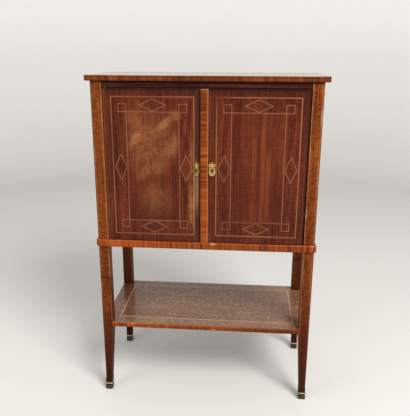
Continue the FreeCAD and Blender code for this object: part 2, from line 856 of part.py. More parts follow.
def rail_leaf_cuts():
    """Recesses and screw holes for the two leaves under the top rail."""
    _, holes = leaf_screws(opening_top, Vector(0, 0, 1))
    cuts = [leaf_outline(opening_top, leaf_gap)] + holes
    return cuts + [mirrored_x(cut) for cut in cuts]


def door_leaf_cuts():
    """Recesses and screw holes for a right-hand door's two leaves."""
    _, holes = leaf_screws(door_top, Vector(0, 0, -1))
    cuts = [leaf_outline(door_top - leaf_thickness, leaf_gap)] + holes
    return cuts + [mirrored_z(cut) for cut in cuts]


def build_hinges():
    """Pivot leaves, washers and screws, on the carcase and on each door."""
    leaf, washer = rail_leaf()
    leaves = both_ends(leaf)
    washers = both_ends(washer)
    save("carcase_pivot_leaves", leaves + [mirrored_x(one) for one in leaves])
    save("pivot_washers", washers + [mirrored_x(one) for one in washers])
    up, _ = leaf_screws(opening_top, Vector(0, 0, 1))
    down, _ = leaf_screws(door_top, Vector(0, 0, -1))
    fixed = [screw for one in up for screw in both_ends(one)]
    moving = [screw for one in down for screw in both_ends(one)]
    save("carcase_pivot_screws", fixed + [mirrored_x(one) for one in fixed])
    door_leaves = both_ends(door_leaf())
    save("right_door_pivot_leaves", door_leaves)
    save("left_door_pivot_leaves", [mirrored_x(one) for one in door_leaves])
    save("right_door_pivot_screws", moving)
    save("left_door_pivot_screws", [mirrored_x(one) for one in moving])


def keyhole(x, y0, y1):
    """A keyhole's opening from one depth to another: a round hole over a slot."""
    hole = placed(rod(keyhole_radius, y1 - y0, round_sides), Vector(x, y0, keyhole_z), Vector(0, 1, 0))
    half = keyhole_slot_width / 2
    slot = block(x - half, x + half, y0, y1, keyhole_z - keyhole_slot_drop, keyhole_z)
    return hole.fuse(slot)


def oval(x, z, half_x, half_z, height, tilt_degrees=0.0):
    """An oval that stands forward from the door's face, tilted anticlockwise as the viewer sees it."""
    lean = math.radians(tilt_degrees)
    points = []
    for turn in turns(oval_sides):
        across, up = half_x * math.cos(turn), half_z * math.sin(turn)
        points.append((
            x + across * math.cos(lean) - up * math.sin(lean),
            z + across * math.sin(lean) + up * math.cos(lean),
        ))
    return front_prism(points, door_front_y - height, door_front_y)


def escutcheon_pins(x, gap=0.0):
    """The two pins on an escutcheon's back, or with a gap their holes in the door."""
    low = keyhole_z - escutcheon_drop - escutcheon_half_height + escutcheon_rim_width
    pin = rod(escutcheon_pin_radius + gap, escutcheon_pin_length + gap, pin_sides)
    heights = (low, keyhole_z + crest_rise)
    return [placed(pin, Vector(x, door_front_y, z), Vector(0, 1, 0)) for z in heights]


def escutcheon(x):
    """A cast oval plate with a raised rim under a ribbon bow and a crest, in one with its two pins."""
    middle = keyhole_z - escutcheon_drop
    half_x, half_z = escutcheon_half_width, escutcheon_half_height
    field = oval(
        x, middle, half_x - escutcheon_rim_width, half_z - escutcheon_rim_width,
        escutcheon_rim_height + overrun,
    )
    parts = [oval(x, middle, half_x, half_z, escutcheon_rim_height).cut(field)]
    for s in (-1, 1):
        parts.append(oval(
            x + s * bow_half_spread, keyhole_z + bow_rise, bow_half_length, bow_half_width,
            bow_height, s * bow_tilt_degrees,
        ))
    parts.append(oval(x, keyhole_z + bow_rise, bow_knot_radius, bow_knot_radius, bow_knot_height))
    parts.append(oval(x, keyhole_z + crest_rise, crest_radius, crest_radius, bow_height))
    parts.append(block(
        x - neck_width / 2, x + neck_width / 2, door_front_y - escutcheon_thickness, door_front_y,
        middle + half_z - escutcheon_rim_width, keyhole_z + crest_rise,
    ))
    plate = oval(x, middle, half_x, half_z, escutcheon_thickness).fuse(parts + escutcheon_pins(x))
    return plate.cut(keyhole(x, door_front_y - escutcheon_rim_height, door_front_y)).removeSplitter()


# Lock: inner faces of its case
lock_x0 = strip_left_x + lock_forend_thickness
lock_x1 = lock_x0 + lock_length
lock_front_y = door_back_y - lock_depth
lock_back_y = door_back_y - lock_wall
lock_bolt_y = (lock_front_y + lock_wall + lock_back_y) / 2
lock_bolt_z = keyhole_z + lock_bolt_rise


def lock_bolt_bar(gap, x0, x1):
    """The lock bolt's bar, or with a gap the slot for it."""
    half_y = lock_bolt_thickness / 2 + gap
    half_z = lock_bolt_height / 2 + gap
    return block(
        x0, x1, lock_bolt_y - half_y, lock_bolt_y + half_y, lock_bolt_z - half_z, lock_bolt_z + half_z
    )


def lock_plate_spots():
    """Where the four screws go through the lock's back plate."""
    inset = lock_flange / 2
    reach = lock_height / 2 + inset
    xs = (lock_x0 + lock_flange, lock_x1 - inset)
    return [Vector(x, door_back_y, door_middle + s * reach) for x in xs for s in (-1, 1)]


def lock_recesses():
    """What the lock takes out of the right door: case, forend, back plate, keyhole and screw holes."""
    half = lock_height / 2
    forend = lock_forend_height / 2
    flange = half + lock_flange
    _, holes = screw_set(
        lock_plate_spots(), Vector(0, -1, 0), small_screw_head, small_screw_shank, small_screw_length
    )
    g = joinery_gap
    return holes + [
        block(
            strip_left_x, lock_x1 + g, lock_front_y, door_back_y,
            door_middle - half - g, door_middle + half + g,
        ),
        block(
            strip_left_x - overrun, lock_x0, lock_front_y, door_back_y + overrun,
            door_middle - forend - g, door_middle + forend + g,
        ),
        block(
            strip_left_x, lock_x1 + lock_flange + g, lock_back_y, door_back_y + overrun,
            door_middle - flange - g, door_middle + flange + g,
        ),
        keyhole(right_key_offset, door_front_y - overrun, lock_front_y + overrun),
    ]


def build_lock():
    """The lock's case, back plate with its stump and key pin, bolt and screws in the right door."""
    half = lock_height / 2
    forend = lock_forend_height / 2
    case = block(lock_x0, lock_x1, lock_front_y, lock_back_y, door_middle - half, door_middle + half)
    hollow = block(
        lock_x0, lock_x1 - lock_wall, lock_front_y + lock_wall, lock_back_y,
        door_middle - half + lock_wall, door_middle + half - lock_wall,
    )
    face = block(
        strip_left_x, lock_x0, lock_front_y, door_back_y, door_middle - forend, door_middle + forend
    )
    slot = lock_bolt_bar(lock_bolt_gap, strip_left_x - overrun, lock_x0 + overrun)
    case = case.cut(hollow).fuse(face).removeSplitter()
    save("lock_case", case.cut([slot, keyhole(right_key_offset, lock_front_y - overrun, lock_back_y)]))

    flange = half + lock_flange
    spots = lock_plate_spots()
    inward = Vector(0, -1, 0)
    screws, holes = screw_set(spots, inward, small_screw_head, small_screw_shank, small_screw_length)
    plate = block(
        lock_x0, lock_x1 + lock_flange, lock_back_y, door_back_y, door_middle - flange, door_middle + flange
    )
    stump_x = strip_left_x + lock_stump_set_in
    stump = rod(lock_stump_radius, lock_back_y - lock_front_y - lock_wall, round_sides)
    stump = placed(stump, Vector(stump_x, lock_back_y, lock_bolt_z), inward)
    key_pin = rod(key_pin_radius, key_pin_length, round_sides)
    key_pin = placed(key_pin, Vector(right_key_offset, lock_back_y, keyhole_z), inward)
    save("lock_back_plate", plate.cut(holes).fuse([stump, key_pin]))
    save("lock_screws", screws)

    x0 = strip_left_x + lock_bolt_gap
    bolt = lock_bolt_bar(0, x0, x0 + lock_bolt_length)
    play = lock_stump_radius + lock_bolt_gap
    stump_slot = block(
        stump_x - play, stump_x + lock_bolt_throw + play, lock_front_y, lock_back_y,
        lock_bolt_z - play, lock_bolt_z + play,
    )
    bottom = lock_bolt_z - lock_bolt_height / 2
    talon = block(
        right_key_offset - talon_width / 2, right_key_offset + talon_width / 2, lock_front_y, lock_back_y,
        bottom - overrun, bottom + talon_depth,
    )
    save("lock_bolt", bolt.cut([stump_slot, talon]))


# The strike and the slide bolts belong to the left door, and are placed on the right and mirrored.
strike_x1 = left_closing_u + strike_thickness


def strike_spots():
    """Where the strike plate's two screws go."""
    reach = (strike_height + lock_bolt_height) / 4
    return [Vector(left_closing_u, lock_bolt_y, lock_bolt_z + s * reach) for s in (-1, 1)]


def strike_plate_block(gap=0.0):
    """The strike plate, or with a gap its recess, in the left door's closing edge."""
    half = strike_height / 2 + gap
    start = left_closing_u - (overrun if gap else 0)
    return block(
        start, strike_x1, lock_front_y - gap, door_back_y + gap, lock_bolt_z - half, lock_bolt_z + half
    )


def strike_pocket(x0, x1):
    """The opening that takes the lock's bolt."""
    half_y = lock_bolt_thickness / 2 + strike_gap
    half_z = lock_bolt_height / 2 + strike_gap
    return block(
        x0, x1, lock_bolt_y - half_y, lock_bolt_y + half_y, lock_bolt_z - half_z, lock_bolt_z + half_z
    )


# Slide bolt: its middle line, its channel in the door's back, and its plate
slide_x = left_closing_u + slide_bolt_set_in
slide_plate_y = door_back_y - slide_plate_thickness
slide_floor_y = slide_plate_y - slide_bolt_thickness - slide_bolt_gap - slide_bolt_gap
slide_front_y = slide_floor_y + slide_bolt_gap
slide_back_y = slide_front_y + slide_bolt_thickness
slide_middle_y = (slide_front_y + slide_back_y) / 2
slide_end_z = door_top - slide_bolt_rest
slide_plate_top = door_top - slide_plate_end


def slide_spots():
    """Where the slide bolt's plate is screwed."""
    inset = small_screw_head + slide_plate_end
    heights = (slide_plate_top - inset, slide_plate_top - slide_plate_length + inset)
    return [Vector(slide_x + s * slide_screw_spread, door_back_y, z) for s, z in zip((-1, 1), heights)]


def keeper_spots():
    """Where the keeper's two screws go into the top rail."""
    return [Vector(slide_x + s * keeper_screw_spread, slide_middle_y, opening_top) for s in (-1, 1)]


def keeper_hole(z0, z1):
    """The hole that takes the slide bolt's end."""
    half = slide_bolt_width / 2 + keeper_gap
    return block(
        slide_x - half, slide_x + half, slide_front_y - keeper_gap, slide_back_y + keeper_gap, z0, z1
    )


def keeper_plate(gap=0.0):
    """The keeper under the top rail, or with a gap its recess."""
    half_x, half_y = keeper_length / 2 + gap, keeper_width / 2 + gap
    return block(
        slide_x - half_x, slide_x + half_x, slide_middle_y - half_y, slide_middle_y + half_y,
        opening_top, opening_top + keeper_thickness,
    )


def keeper_cuts():
    """What the left-hand keeper takes out of the top rail."""
    _, holes = screw_set(
        keeper_spots(), Vector(0, 0, 1), small_screw_head, small_screw_shank, small_screw_length
    )
    depth = slide_bolt_travel + keeper_gap
    cuts = [keeper_plate(joinery_gap), keeper_hole(opening_top - overrun, opening_top + depth)] + holes
    return [mirrored_x(cut) for cut in cuts]


def slide_recesses():
    """What a slide bolt takes out of the left door at its top: channel, plate recess and screw holes."""
    half = slide_bolt_width / 2 + slide_bolt_gap
    plate = slide_plate_width / 2 + joinery_gap
    _, holes = screw_set(
        slide_spots(), Vector(0, -1, 0), small_screw_head, small_screw_shank, small_screw_length
    )
    return holes + [
        block(
            slide_x - half, slide_x + half, slide_floor_y, slide_plate_y,
            door_top - slide_channel_length, door_top + overrun,
        ),
        block(
            slide_x - plate, slide_x + plate, slide_plate_y, door_back_y + overrun,
            slide_plate_top - slide_plate_length - joinery_gap, slide_plate_top + joinery_gap,
        ),
    ]


def slide_bolt():
    """The top slide bolt with its knob, drawn back into the door."""
    half = slide_bolt_width / 2
    bar = block(
        slide_x - half, slide_x + half, slide_front_y, slide_back_y,
        slide_end_z - slide_bolt_length, slide_end_z,
    )
    seat = Vector(slide_x, slide_back_y, slide_end_z - slide_knob_drop)
    knob = rod(slide_knob_radius, door_back_y + slide_knob_reach - slide_back_y, round_sides)
    return bar.fuse(placed(knob, seat, Vector(0, 1, 0)))


def slide_plate():
    """The plate over the top slide bolt, with its slot for the knob and its screw holes."""
    half = slide_plate_width / 2
    plate = block(
        slide_x - half, slide_x + half, slide_plate_y, door_back_y,
        slide_plate_top - slide_plate_length, slide_plate_top,
    )
    play = slide_knob_radius + slide_knob_gap
    knob_z = slide_end_z - slide_knob_drop
    slot = block(
        slide_x - play, slide_x + play, slide_plate_y - overrun, door_back_y + overrun,
        knob_z - play, knob_z + slide_bolt_travel + play,
    )
    _, holes = screw_set(
        slide_spots(), Vector(0, -1, 0), small_screw_head, small_screw_shank, small_screw_length
    )
    return plate.cut([slot] + holes)


def build_left_door_hardware():
    """Strike plate, slide bolts, their plates, keepers and screws, mirrored to the left door."""
    across = Vector(1, 0, 0)
    screws, holes = screw_set(
        strike_spots(), across, small_screw_head, small_screw_shank, small_screw_length
    )
    opening = strike_pocket(left_closing_u - overrun, strike_x1)
    save("strike_plate", mirrored_x(strike_plate_block().cut(holes + [opening])))
    fitting_screws = [mirrored_x(screw) for screw in screws]

    top_bolt = mirrored_x(slide_bolt())
    save("top_slide_bolt", top_bolt)
    save("bottom_slide_bolt", mirrored_z(top_bolt))
    save("slide_bolt_plates", both_ends(mirrored_x(slide_plate())))
    screws, _ = screw_set(
        slide_spots(), Vector(0, -1, 0), small_screw_head, small_screw_shank, small_screw_length
    )
    fitting_screws += [twin for screw in screws for twin in both_ends(mirrored_x(screw))]
    save("left_door_fitting_screws", fitting_screws)

    up = Vector(0, 0, 1)
    screws, holes = screw_set(keeper_spots(), up, small_screw_head, small_screw_shank, small_screw_length)
    opening = keeper_hole(opening_top - overrun, opening_top + keeper_thickness + overrun)
    keeper = keeper_plate().cut(holes + [opening])
    save("bolt_keepers", both_ends(mirrored_x(keeper)))
    save("keeper_screws", [twin for screw in screws for twin in both_ends(mirrored_x(screw))])


def build_doors():
    """Both door boards with their inlay, the meeting strip and the escutcheons."""
    lines, veneers, recesses = door_inlay()
    save("right_door_inlay_lines", lines)
    save("right_door_lozenges", veneers)
    save("left_door_inlay_lines", [mirrored_x(line) for line in lines])
    save("left_door_lozenges", [mirrored_x(veneer) for veneer in veneers])

    strip = block(
        strip_left_x, strip_right_x, door_front_y - meeting_strip_proud, door_front_y, door_bottom, door_top
    )
    front_edges = [
        edge for edge in strip.Edges
        if all(abs(v.Point.y - strip.BoundBox.YMin) < coincidence for v in edge.Vertexes)
        and abs(edge.Vertexes[0].Point.z - edge.Vertexes[-1].Point.z) > coincidence
    ]
    save("meeting_strip", strip.makeFillet(meeting_strip_rounding, front_edges))

    right_cuts = recesses + door_leaf_cuts() + lock_recesses()
    right_cuts += escutcheon_pins(right_key_offset, screw_gap)
    save("right_door_board", door_blank(strip_left_x).cut(right_cuts))

    slides = [twin for cut in slide_recesses() for twin in both_ends(cut)]
    _, strike_holes = screw_set(
        strike_spots(), Vector(1, 0, 0), small_screw_head, small_screw_shank, small_screw_length
    )
    left_cuts = recesses + door_leaf_cuts() + slides + strike_holes
    left_cuts.append(strike_plate_block(joinery_gap))
    left_cuts.append(strike_pocket(left_closing_u, strike_x1 + strike_pocket_depth))
    left_cuts.append(keyhole(left_key_offset, door_front_y - overrun, door_front_y + blind_keyhole_depth))
    left_cuts += escutcheon_pins(left_key_offset, screw_gap)
    save("left_door_board", mirrored_x(door_blank(left_closing_u).cut(left_cuts)))

    save("right_escutcheon", escutcheon(right_key_offset))
    save("left_escutcheon", escutcheon(-left_key_offset))


os.makedirs("parts", exist_ok=True)
build_frame()
build_panels()
build_shelves()
build_doors()
build_hinges()
build_lock()
build_left_door_hardware()
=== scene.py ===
import json
import math

import bmesh
import bpy
import numpy as np
from mathutils import Matrix, Vector

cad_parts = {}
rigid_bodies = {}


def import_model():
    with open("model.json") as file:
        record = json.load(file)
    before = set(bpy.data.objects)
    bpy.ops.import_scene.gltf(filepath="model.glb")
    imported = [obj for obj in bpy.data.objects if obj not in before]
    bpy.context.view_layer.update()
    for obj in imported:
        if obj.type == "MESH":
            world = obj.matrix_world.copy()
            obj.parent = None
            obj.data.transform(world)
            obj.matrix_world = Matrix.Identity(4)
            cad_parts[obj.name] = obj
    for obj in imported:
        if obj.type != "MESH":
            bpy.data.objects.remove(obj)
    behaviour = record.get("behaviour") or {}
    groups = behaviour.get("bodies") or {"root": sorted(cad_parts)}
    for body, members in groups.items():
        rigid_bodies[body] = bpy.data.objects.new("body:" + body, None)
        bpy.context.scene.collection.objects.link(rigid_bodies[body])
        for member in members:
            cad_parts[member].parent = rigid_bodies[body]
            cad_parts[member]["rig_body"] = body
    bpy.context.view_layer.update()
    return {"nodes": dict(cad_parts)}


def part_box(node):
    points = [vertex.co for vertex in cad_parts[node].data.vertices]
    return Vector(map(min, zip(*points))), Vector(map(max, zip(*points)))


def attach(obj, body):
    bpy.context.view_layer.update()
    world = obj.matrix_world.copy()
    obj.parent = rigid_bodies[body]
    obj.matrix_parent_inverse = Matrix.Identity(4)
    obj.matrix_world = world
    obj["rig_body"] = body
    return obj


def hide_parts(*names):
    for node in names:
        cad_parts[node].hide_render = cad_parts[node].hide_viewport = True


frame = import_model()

bl_info = {
    "name": "Inlaid Two-Door Cabinet",
    "version": (1, 0, 0),
    "blender": (4, 5, 0),
    "location": "3D View > Sidebar > Cabinet",
    "description": "Dresses the cabinet's frame in polished mahogany, inlay and brass",
    "category": "Object",
}

# One millimetre, because every length in the frame is in metres
MM = 0.001
# Points closer than this are one corner
MERGE = 2e-6
# Height of both keyholes' round part
KEYHOLE = 887 * MM
# Depth at which marks on the front are centred, close behind the doors' faces
FRONT = -0.19
# The legs' taper: heights at its two ends and the leg's width at each
POST_TAPER = (0.0, 278 * MM, 21.7 * MM, 38 * MM)
# Height of the crack round the front left leg
CRACK = 477 * MM
# In front of this a post's inner side is seen beside the door
BY_DOOR = -168 * MM
# Canted corners: how far out the sum of x and y lies on the belt's and on the top's
BELT_CANT = 581.5 * MM
TOP_CANT = 594 * MM
# How far each canted corner is cut back, on the posts and on the top
POST_CORNER = 5 * MM
TOP_CORNER = 10 * MM
# How far the edge strips reach in behind their faces, and the belt out from the posts
STRIP_DEPTH = 3 * MM
BELT_REACH = 6 * MM
# How thick the slide bolts' bars are from front to back, where their knobs stand
BOLT_BAR = 5 * MM
# Where pale stripes run up the right door's middle field
STRIPES = (0.213, 0.196, 0.166)


def paint(red, green, blue):
    """A colour written as 0 to 255 on a screen, as the even light values that shaders take."""
    shares = (red / 255, green / 255, blue / 255)
    return tuple(s / 12.92 if s <= 0.04045 else ((s + 0.055) / 1.055) ** 2.4 for s in shares)


def times(tone, by, plus=0.0):
    """A colour made darker or paler."""
    return tuple(min(1.0, part * by + plus) for part in tone)


def colour(name, description, *tone):
    """A colour that the panel shows."""
    return bpy.props.FloatVectorProperty(
        name=name, description=description, default=paint(*tone), subtype="COLOR", size=3, min=0.0, max=1.0)


def number(name, description, value, **kind):
    """A number that the panel shows."""
    return bpy.props.FloatProperty(name=name, description=description, default=value, **kind)


def length(name, description, millimetres):
    """A length that the panel shows."""
    return number(
        name, description, millimetres * MM, subtype="DISTANCE", unit="LENGTH", min=0.0, precision=5)


def turn(name, description, value):
    """An angle that the panel shows."""
    return number(name, description, value, subtype="ANGLE", unit="ROTATION")


# Each wood's dark, middle and light tones, as 0 to 255 on a screen, and where it is
WOODS = {
    "door": ((66, 20, 11), (93, 38, 20), (124, 58, 31), "the doors' mahogany"),
    "post": ((86, 35, 10), (126, 60, 21), (156, 87, 38), "the posts' mahogany"),
    "rail": ((44, 15, 12), (70, 32, 27), (92, 48, 41), "the rail over the doors"),
    "top": ((104, 54, 32), (140, 82, 56), (168, 110, 80), "the sun-faded top"),
    "banding": ((108, 42, 8), (150, 66, 20), (184, 96, 38), "the cross-banding"),
    "shelf": ((96, 56, 36), (126, 84, 58), (154, 114, 86), "the worn lower shelf"),
    "inner": ((92, 56, 26), (146, 98, 60), (176, 134, 86), "the plain inner wood"),
}
TONES = ("dark", "middle", "light")


class CabinetColours(bpy.types.PropertyGroup):
    """Colours of the woods and metals"""

    string_wood: colour("Stringing", "Pale inner lines and lozenge lines", 162, 104, 78)
    line_wood: colour("Outer line", "Browner wood of the wide outer lines", 158, 100, 70)
    gilt_brass: colour("Gilt brass", "Escutcheons, bright where rubbed", 230, 193, 118)
    dark_brass: colour("Dull brass", "Brown film in the hollows of the brass", 112, 86, 44)
    plain_brass: colour("Plain brass", "Hinges, lock and bolts", 206, 166, 92)
    sabot_brass: colour("Sabot brass", "Olive brass of the sabots", 86, 80, 56)
    steel: colour("Steel", "Screws under the top", 132, 130, 126)
    backdrop: colour("Backdrop", "Pale floor and backdrop", 244, 243, 241)


for wood_name, (*wood_tones, where) in WOODS.items():
    for tone_name, wood_tone in zip(TONES, wood_tones):
        CabinetColours.__annotations__[f"{wood_name}_{tone_name}"] = colour(
            f"{wood_name.title()}, {tone_name}", f"The {tone_name} tone of {where}", *wood_tone)


class CabinetSizes(bpy.types.PropertyGroup):
    """Sizes of the details that the looks add"""

    board_ease: length("Board easing", "How far the boards' outer edges are eased", 0.7)
    metal_ease: length("Metal easing", "How far the brass fittings' edges are eased", 0.25)
    band_width: length("Inlay band", "From the outer line's middle to the inner line's", 50.0)
    outer_line: length("Outer line", "Width of the outer line", 4.0)
    bead_radius: length("Bead radius", "Beads on the escutcheons' rims", 1.45)
    bead_count: bpy.props.IntProperty(
        name="Beads", description="Beads round each escutcheon", default=18, min=8, max=80)
    slot_share: number("Screw slot", "A slot's width as a share of its screw's head", 0.17, min=0.0, max=1.0)
    belt_rounding: length("Belt rounding", "Rounding of the belt moulding's outer edges", 2.5)
    strip_rounding: length("Strip rounding", "Rounding of the edge strips' outer edges", 1.5)


class CabinetStage(bpy.types.PropertyGroup):
    """Floor, lamps and camera"""

    floor_radius: length("Floor radius", "Where the backdrop starts to rise", 3600.0)
    backdrop_height: length("Backdrop height", "How high the backdrop stands", 3400.0)
    key_power: number("Main lamp", "Power of the large soft lamp", 226.0, min=0.0, unit="POWER")
    fill_power: number("Second lamp", "Power of the weaker lamp", 22.0, min=0.0, unit="POWER")
    sky_strength: number("Sky", "Strength of the plain light from all round", 0.55, min=0.0, max=4.0)
    camera_place: bpy.props.FloatVectorProperty(
        name="Camera place", description="Where the camera stands", size=3,
        default=(0.1413, -1.9245, 1.2626), subtype="TRANSLATION", unit="LENGTH")
    camera_turn: turn("Camera turn", "How far the camera turns to the left", 0.081)
    camera_drop: turn("Camera drop", "How far the camera looks down", 0.285)
    camera_roll: turn("Camera roll", "How far the camera leans", 0.004)
    camera_lens: number("Lens", "Focal length in millimetres", 45.0, min=10.0, unit="CAMERA")


def panel_sizes():
    """The panel's sizes of details."""
    return bpy.context.scene.cabinet_sizes


def colour_of(name):
    """A colour of the panel as plain numbers."""
    return tuple(getattr(bpy.context.scene.cabinet_colours, name))


def shades_of(wood):
    """The dark, middle and light tones of a wood."""
    return [colour_of(f"{wood}_{tone}") for tone in TONES]


def sums(operation, swapped=False):
    """A method that adds a math node, with its own value as the first number or the last."""
    def method(self, *others):
        values = (*others, self) if swapped else (self, *others)
        return self.finish.math(operation, *values)
    return method


class Value:
    """What a node gives. Sums with it are written as with plain numbers, and | is the larger."""

    def __init__(self, finish, socket):
        self.finish, self.socket = finish, socket

    __add__ = __radd__ = sums("ADD")
    __sub__ = sums("SUBTRACT")
    __rsub__ = sums("SUBTRACT", swapped=True)
    __mul__ = __rmul__ = sums("MULTIPLY")
    __or__ = __ror__ = sums("MAXIMUM")
    __lt__ = sums("LESS_THAN")
    __gt__ = sums("GREATER_THAN")
    __abs__ = sums("ABSOLUTE")

    def outside(self, other):
        """What the other leaves of the value, and never less than nothing."""
        return self.finish.math("SUBTRACT", self, other, clamp=True)

    def within(self, low, high, at_low, at_high):
        """The value carried smoothly from one range to another, and held at its ends."""
        return self.finish.get("ShaderNodeMapRange", self, low, high, at_low, at_high,
                               settings={"interpolation_type": "SMOOTHSTEP"})

    def rise(self, low, high, most=1.0):
        """From nothing at the low value to the most at the high one."""
        return self.within(low, high, 0.0, most)

    def fall(self, low, high, most=1.0):
        """From the most at the low value to nothing at the high one."""
        return self.within(low, high, most, 0.0)


class Finish:
    """A material being written: each method adds nodes, and the tone is its colour so far."""

    def __init__(self, name, tone=None):
        self.material = bpy.data.materials.new(name)
        self.material.use_nodes = True
        self.nodes = self.material.node_tree.nodes
        self.nodes.clear()
        self.tone = tone
        self.place = self.get("ShaderNodeTexCoord", output="Object")
        self.x, self.y, self.z = self.split(self.place)

    def put(self, socket, value):
        """Links what a node gives to a socket, or sets the socket to a number or colour."""
        if isinstance(value, Value):
            self.material.node_tree.links.new(value.socket, socket)
        elif socket.type == "RGBA":
            socket.default_value = (*value, 1.0)
        else:
            socket.default_value = value

    def node(self, kind, *values, settings=None, **named):
        """A node with settings, and values for its sockets in order or by name."""
        made = self.nodes.new(kind)
        for key, value in (settings or {}).items():
            setattr(made, key, value)
        for socket, value in zip(made.inputs, values):
            self.put(socket, value)
        for key, value in named.items():
            self.put(made.inputs[key.replace("_", " ")], value)
        return made

    def get(self, kind, *values, output=0, **rest):
        """What a new node gives."""
        return Value(self, self.node(kind, *values, **rest).outputs[output])

    def split(self, vector):
        """The three parts of a vector."""
        return [Value(self, part) for part in self.node("ShaderNodeSeparateXYZ", vector).outputs]

    def math(self, operation, *values, clamp=False):
        """Plain arithmetic on one or two values."""
        return self.get("ShaderNodeMath", *values, settings={"operation": operation, "use_clamp": clamp})

    def vectors(self, operation, *values, output=0):
        """Arithmetic on one or two vectors."""
        return self.get("ShaderNodeVectorMath", *values, settings={"operation": operation}, output=output)

    def tint(self, amount, *shade):
        """Lays a shade over the tone by an amount: a colour, or red, green and blue to 255."""
        mix = self.node("ShaderNodeMix", amount, settings={"data_type": "RGBA"})
        self.put(mix.inputs[6], self.tone)
        self.put(mix.inputs[7], paint(*shade) if len(shade) == 3 else shade[0])
        self.tone = Value(self, mix.outputs[2])

    def noise(self, scale, detail=2.0, rough=0.5, distort=0.0, place=None):
        """Cloudy noise about one half. The scale is one number, or three for the directions."""
        scales = scale if isinstance(scale, tuple) else (scale,) * 3
        placed = self.get("ShaderNodeMapping", place or self.place, Scale=scales)
        return self.get("ShaderNodeTexNoise", placed, Scale=1.0, Detail=detail, Roughness=rough,
                        Distortion=distort)

    def along_grain(self, grain, wander=0.006):
        """Coordinates whose third runs along the grain, bent a little so that no fibre is straight."""
        x, y, z = self.x, self.y, self.z
        order = {"X": (y, z, x), "Y": (z, x, y), "Z": (x, y, z)}[grain]
        place = self.get("ShaderNodeCombineXYZ", *order)
        slow = self.get("ShaderNodeMapping", place, Scale=(7.0, 7.0, 2.2))
        sway = self.get("ShaderNodeTexNoise", slow, Scale=1.0, Detail=1.0, output="Color")
        centred = self.vectors("SUBTRACT", sway, (0.5, 0.5, 0.5))
        moved = self.vectors("MULTIPLY", centred, (wander * 4, wander * 4, 0.0))
        return self.vectors("ADD", place, moved)

    def patch(self, place, half, lean=0.0):
        """One at a place on the front, fading to nothing at the rim of a leaning oval."""
        local = self.get(
            "ShaderNodeMapping", self.place, (place[0], FRONT, place[1]), (0.0, lean, 0.0),
            (half[0], 1.0, half[1]), settings={"vector_type": "TEXTURE"})
        return self.vectors("LENGTH", local, output="Value").fall(0.15, 1.0)

    def past(self, node, inset):
        """How far a point lies outside a node's upright rectangle, once that is drawn in."""
        low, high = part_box(node)
        middle, half = (low + high) / 2, (high - low) / 2
        return (abs(self.x - middle.x) - (half.x - inset)) | (abs(self.z - middle.z) - (half.z - inset))

    def bump(self, height, distance, strength=0.6):
        """Relief of a depth in metres."""
        return self.get("ShaderNodeBump", Strength=strength, Distance=distance, Height=height)

    def done(self, rough, normal, **constants):
        """The finished material, with a plain surface shader."""
        shader = self.get("ShaderNodeBsdfPrincipled", Base_Color=self.tone, Roughness=rough,
                          Normal=normal, **constants)
        self.node("ShaderNodeOutputMaterial", shader)
        return self.material

    def varnished(self, rough, normal, specular, coat, coat_rough):
        """The finished material under a thin coat."""
        return self.done(rough, normal, Specular_IOR_Level=specular, Coat_Weight=coat,
                         Coat_Roughness=coat_rough)


def weighted(*parts):
    """One half, and each noise's difference from one half times its weight."""
    total = 0.5 - sum(weight for weight, value in parts) / 2
    for weight, value in parts:
        total = value * weight + total
    return total


class Wood(Finish):
    """Colour, pores and fibres of mahogany.

    Broad ribbons and fine streaks run along the grain, curl crosses it, clouds drift over
    both, and short dark pores lie in the fibres. A lean turns the grain."""

    def __init__(self, name, grain, shades, ribbon=1.6, streak=1.1, curl=0.3, cloud=0.8, pores=0.4, lean=0.0):
        super().__init__(name)
        if lean:
            turned_place = self.get("ShaderNodeMapping", self.place, Rotation=(0.0, lean, 0.0))
            self.x, self.y, self.z = self.split(turned_place)
        place = self.along_grain(grain)
        ribbons = self.noise((60, 60, 1.3), 2, 0.55, place=place)
        streaks = self.noise((260, 260, 6), 3, 0.6, place=place)
        curls = self.noise((75, 75, 170), 3, 0.6, 0.6, place)
        self.clouds = self.noise((6, 6, 3.4), place=place)
        self.fibres = self.noise((1500, 1500, 45), 2, 0.6, place=place)
        figure = weighted((ribbon, ribbons), (streak, streaks), (curl, curls), (cloud, self.clouds),
                          (0.35, self.fibres))
        ramp = self.node("ShaderNodeValToRGB", figure)
        ramp.color_ramp.elements.new(0.5)
        for mark, position, shade in zip(ramp.color_ramp.elements, (0.12, 0.5, 0.88), shades):
            mark.position = position
            mark.color = (*shade, 1.0)
        self.tone = Value(self, ramp.outputs[0])
        self.flecks = self.noise((760, 760, 42), 1, place=place).rise(0.6, 0.74)
        self.tint(self.flecks * pores, times(shades[0], 0.35))

    def polish(self, low, high):
        """How rough the polish is: duller where it has clouded or been handled."""
        return (self.noise(18, 3, 0.6) * 0.6 + self.clouds * 0.4).within(0.32, 0.68, low, high)

    def relief(self, depth=0.00012, fibre=0.35):
        """Pores sunk under the polish, and the faint lie of the fibres."""
        return self.bump(self.fibres * fibre - self.flecks, depth)

    def polished(self, rough, *gloss, **relief):
        """The finished wood: the gloss is how much it and its coat reflect, and the coat's roughness."""
        return self.varnished(self.polish(*rough), self.relief(**relief), *gloss)


def mahogany(name, grain, shades, rough=(0.3, 0.46), coat=0.14, **figure):
    """French-polished mahogany."""
    return Wood(name, grain, shades, **figure).polished(rough, 0.05, coat, 0.18)


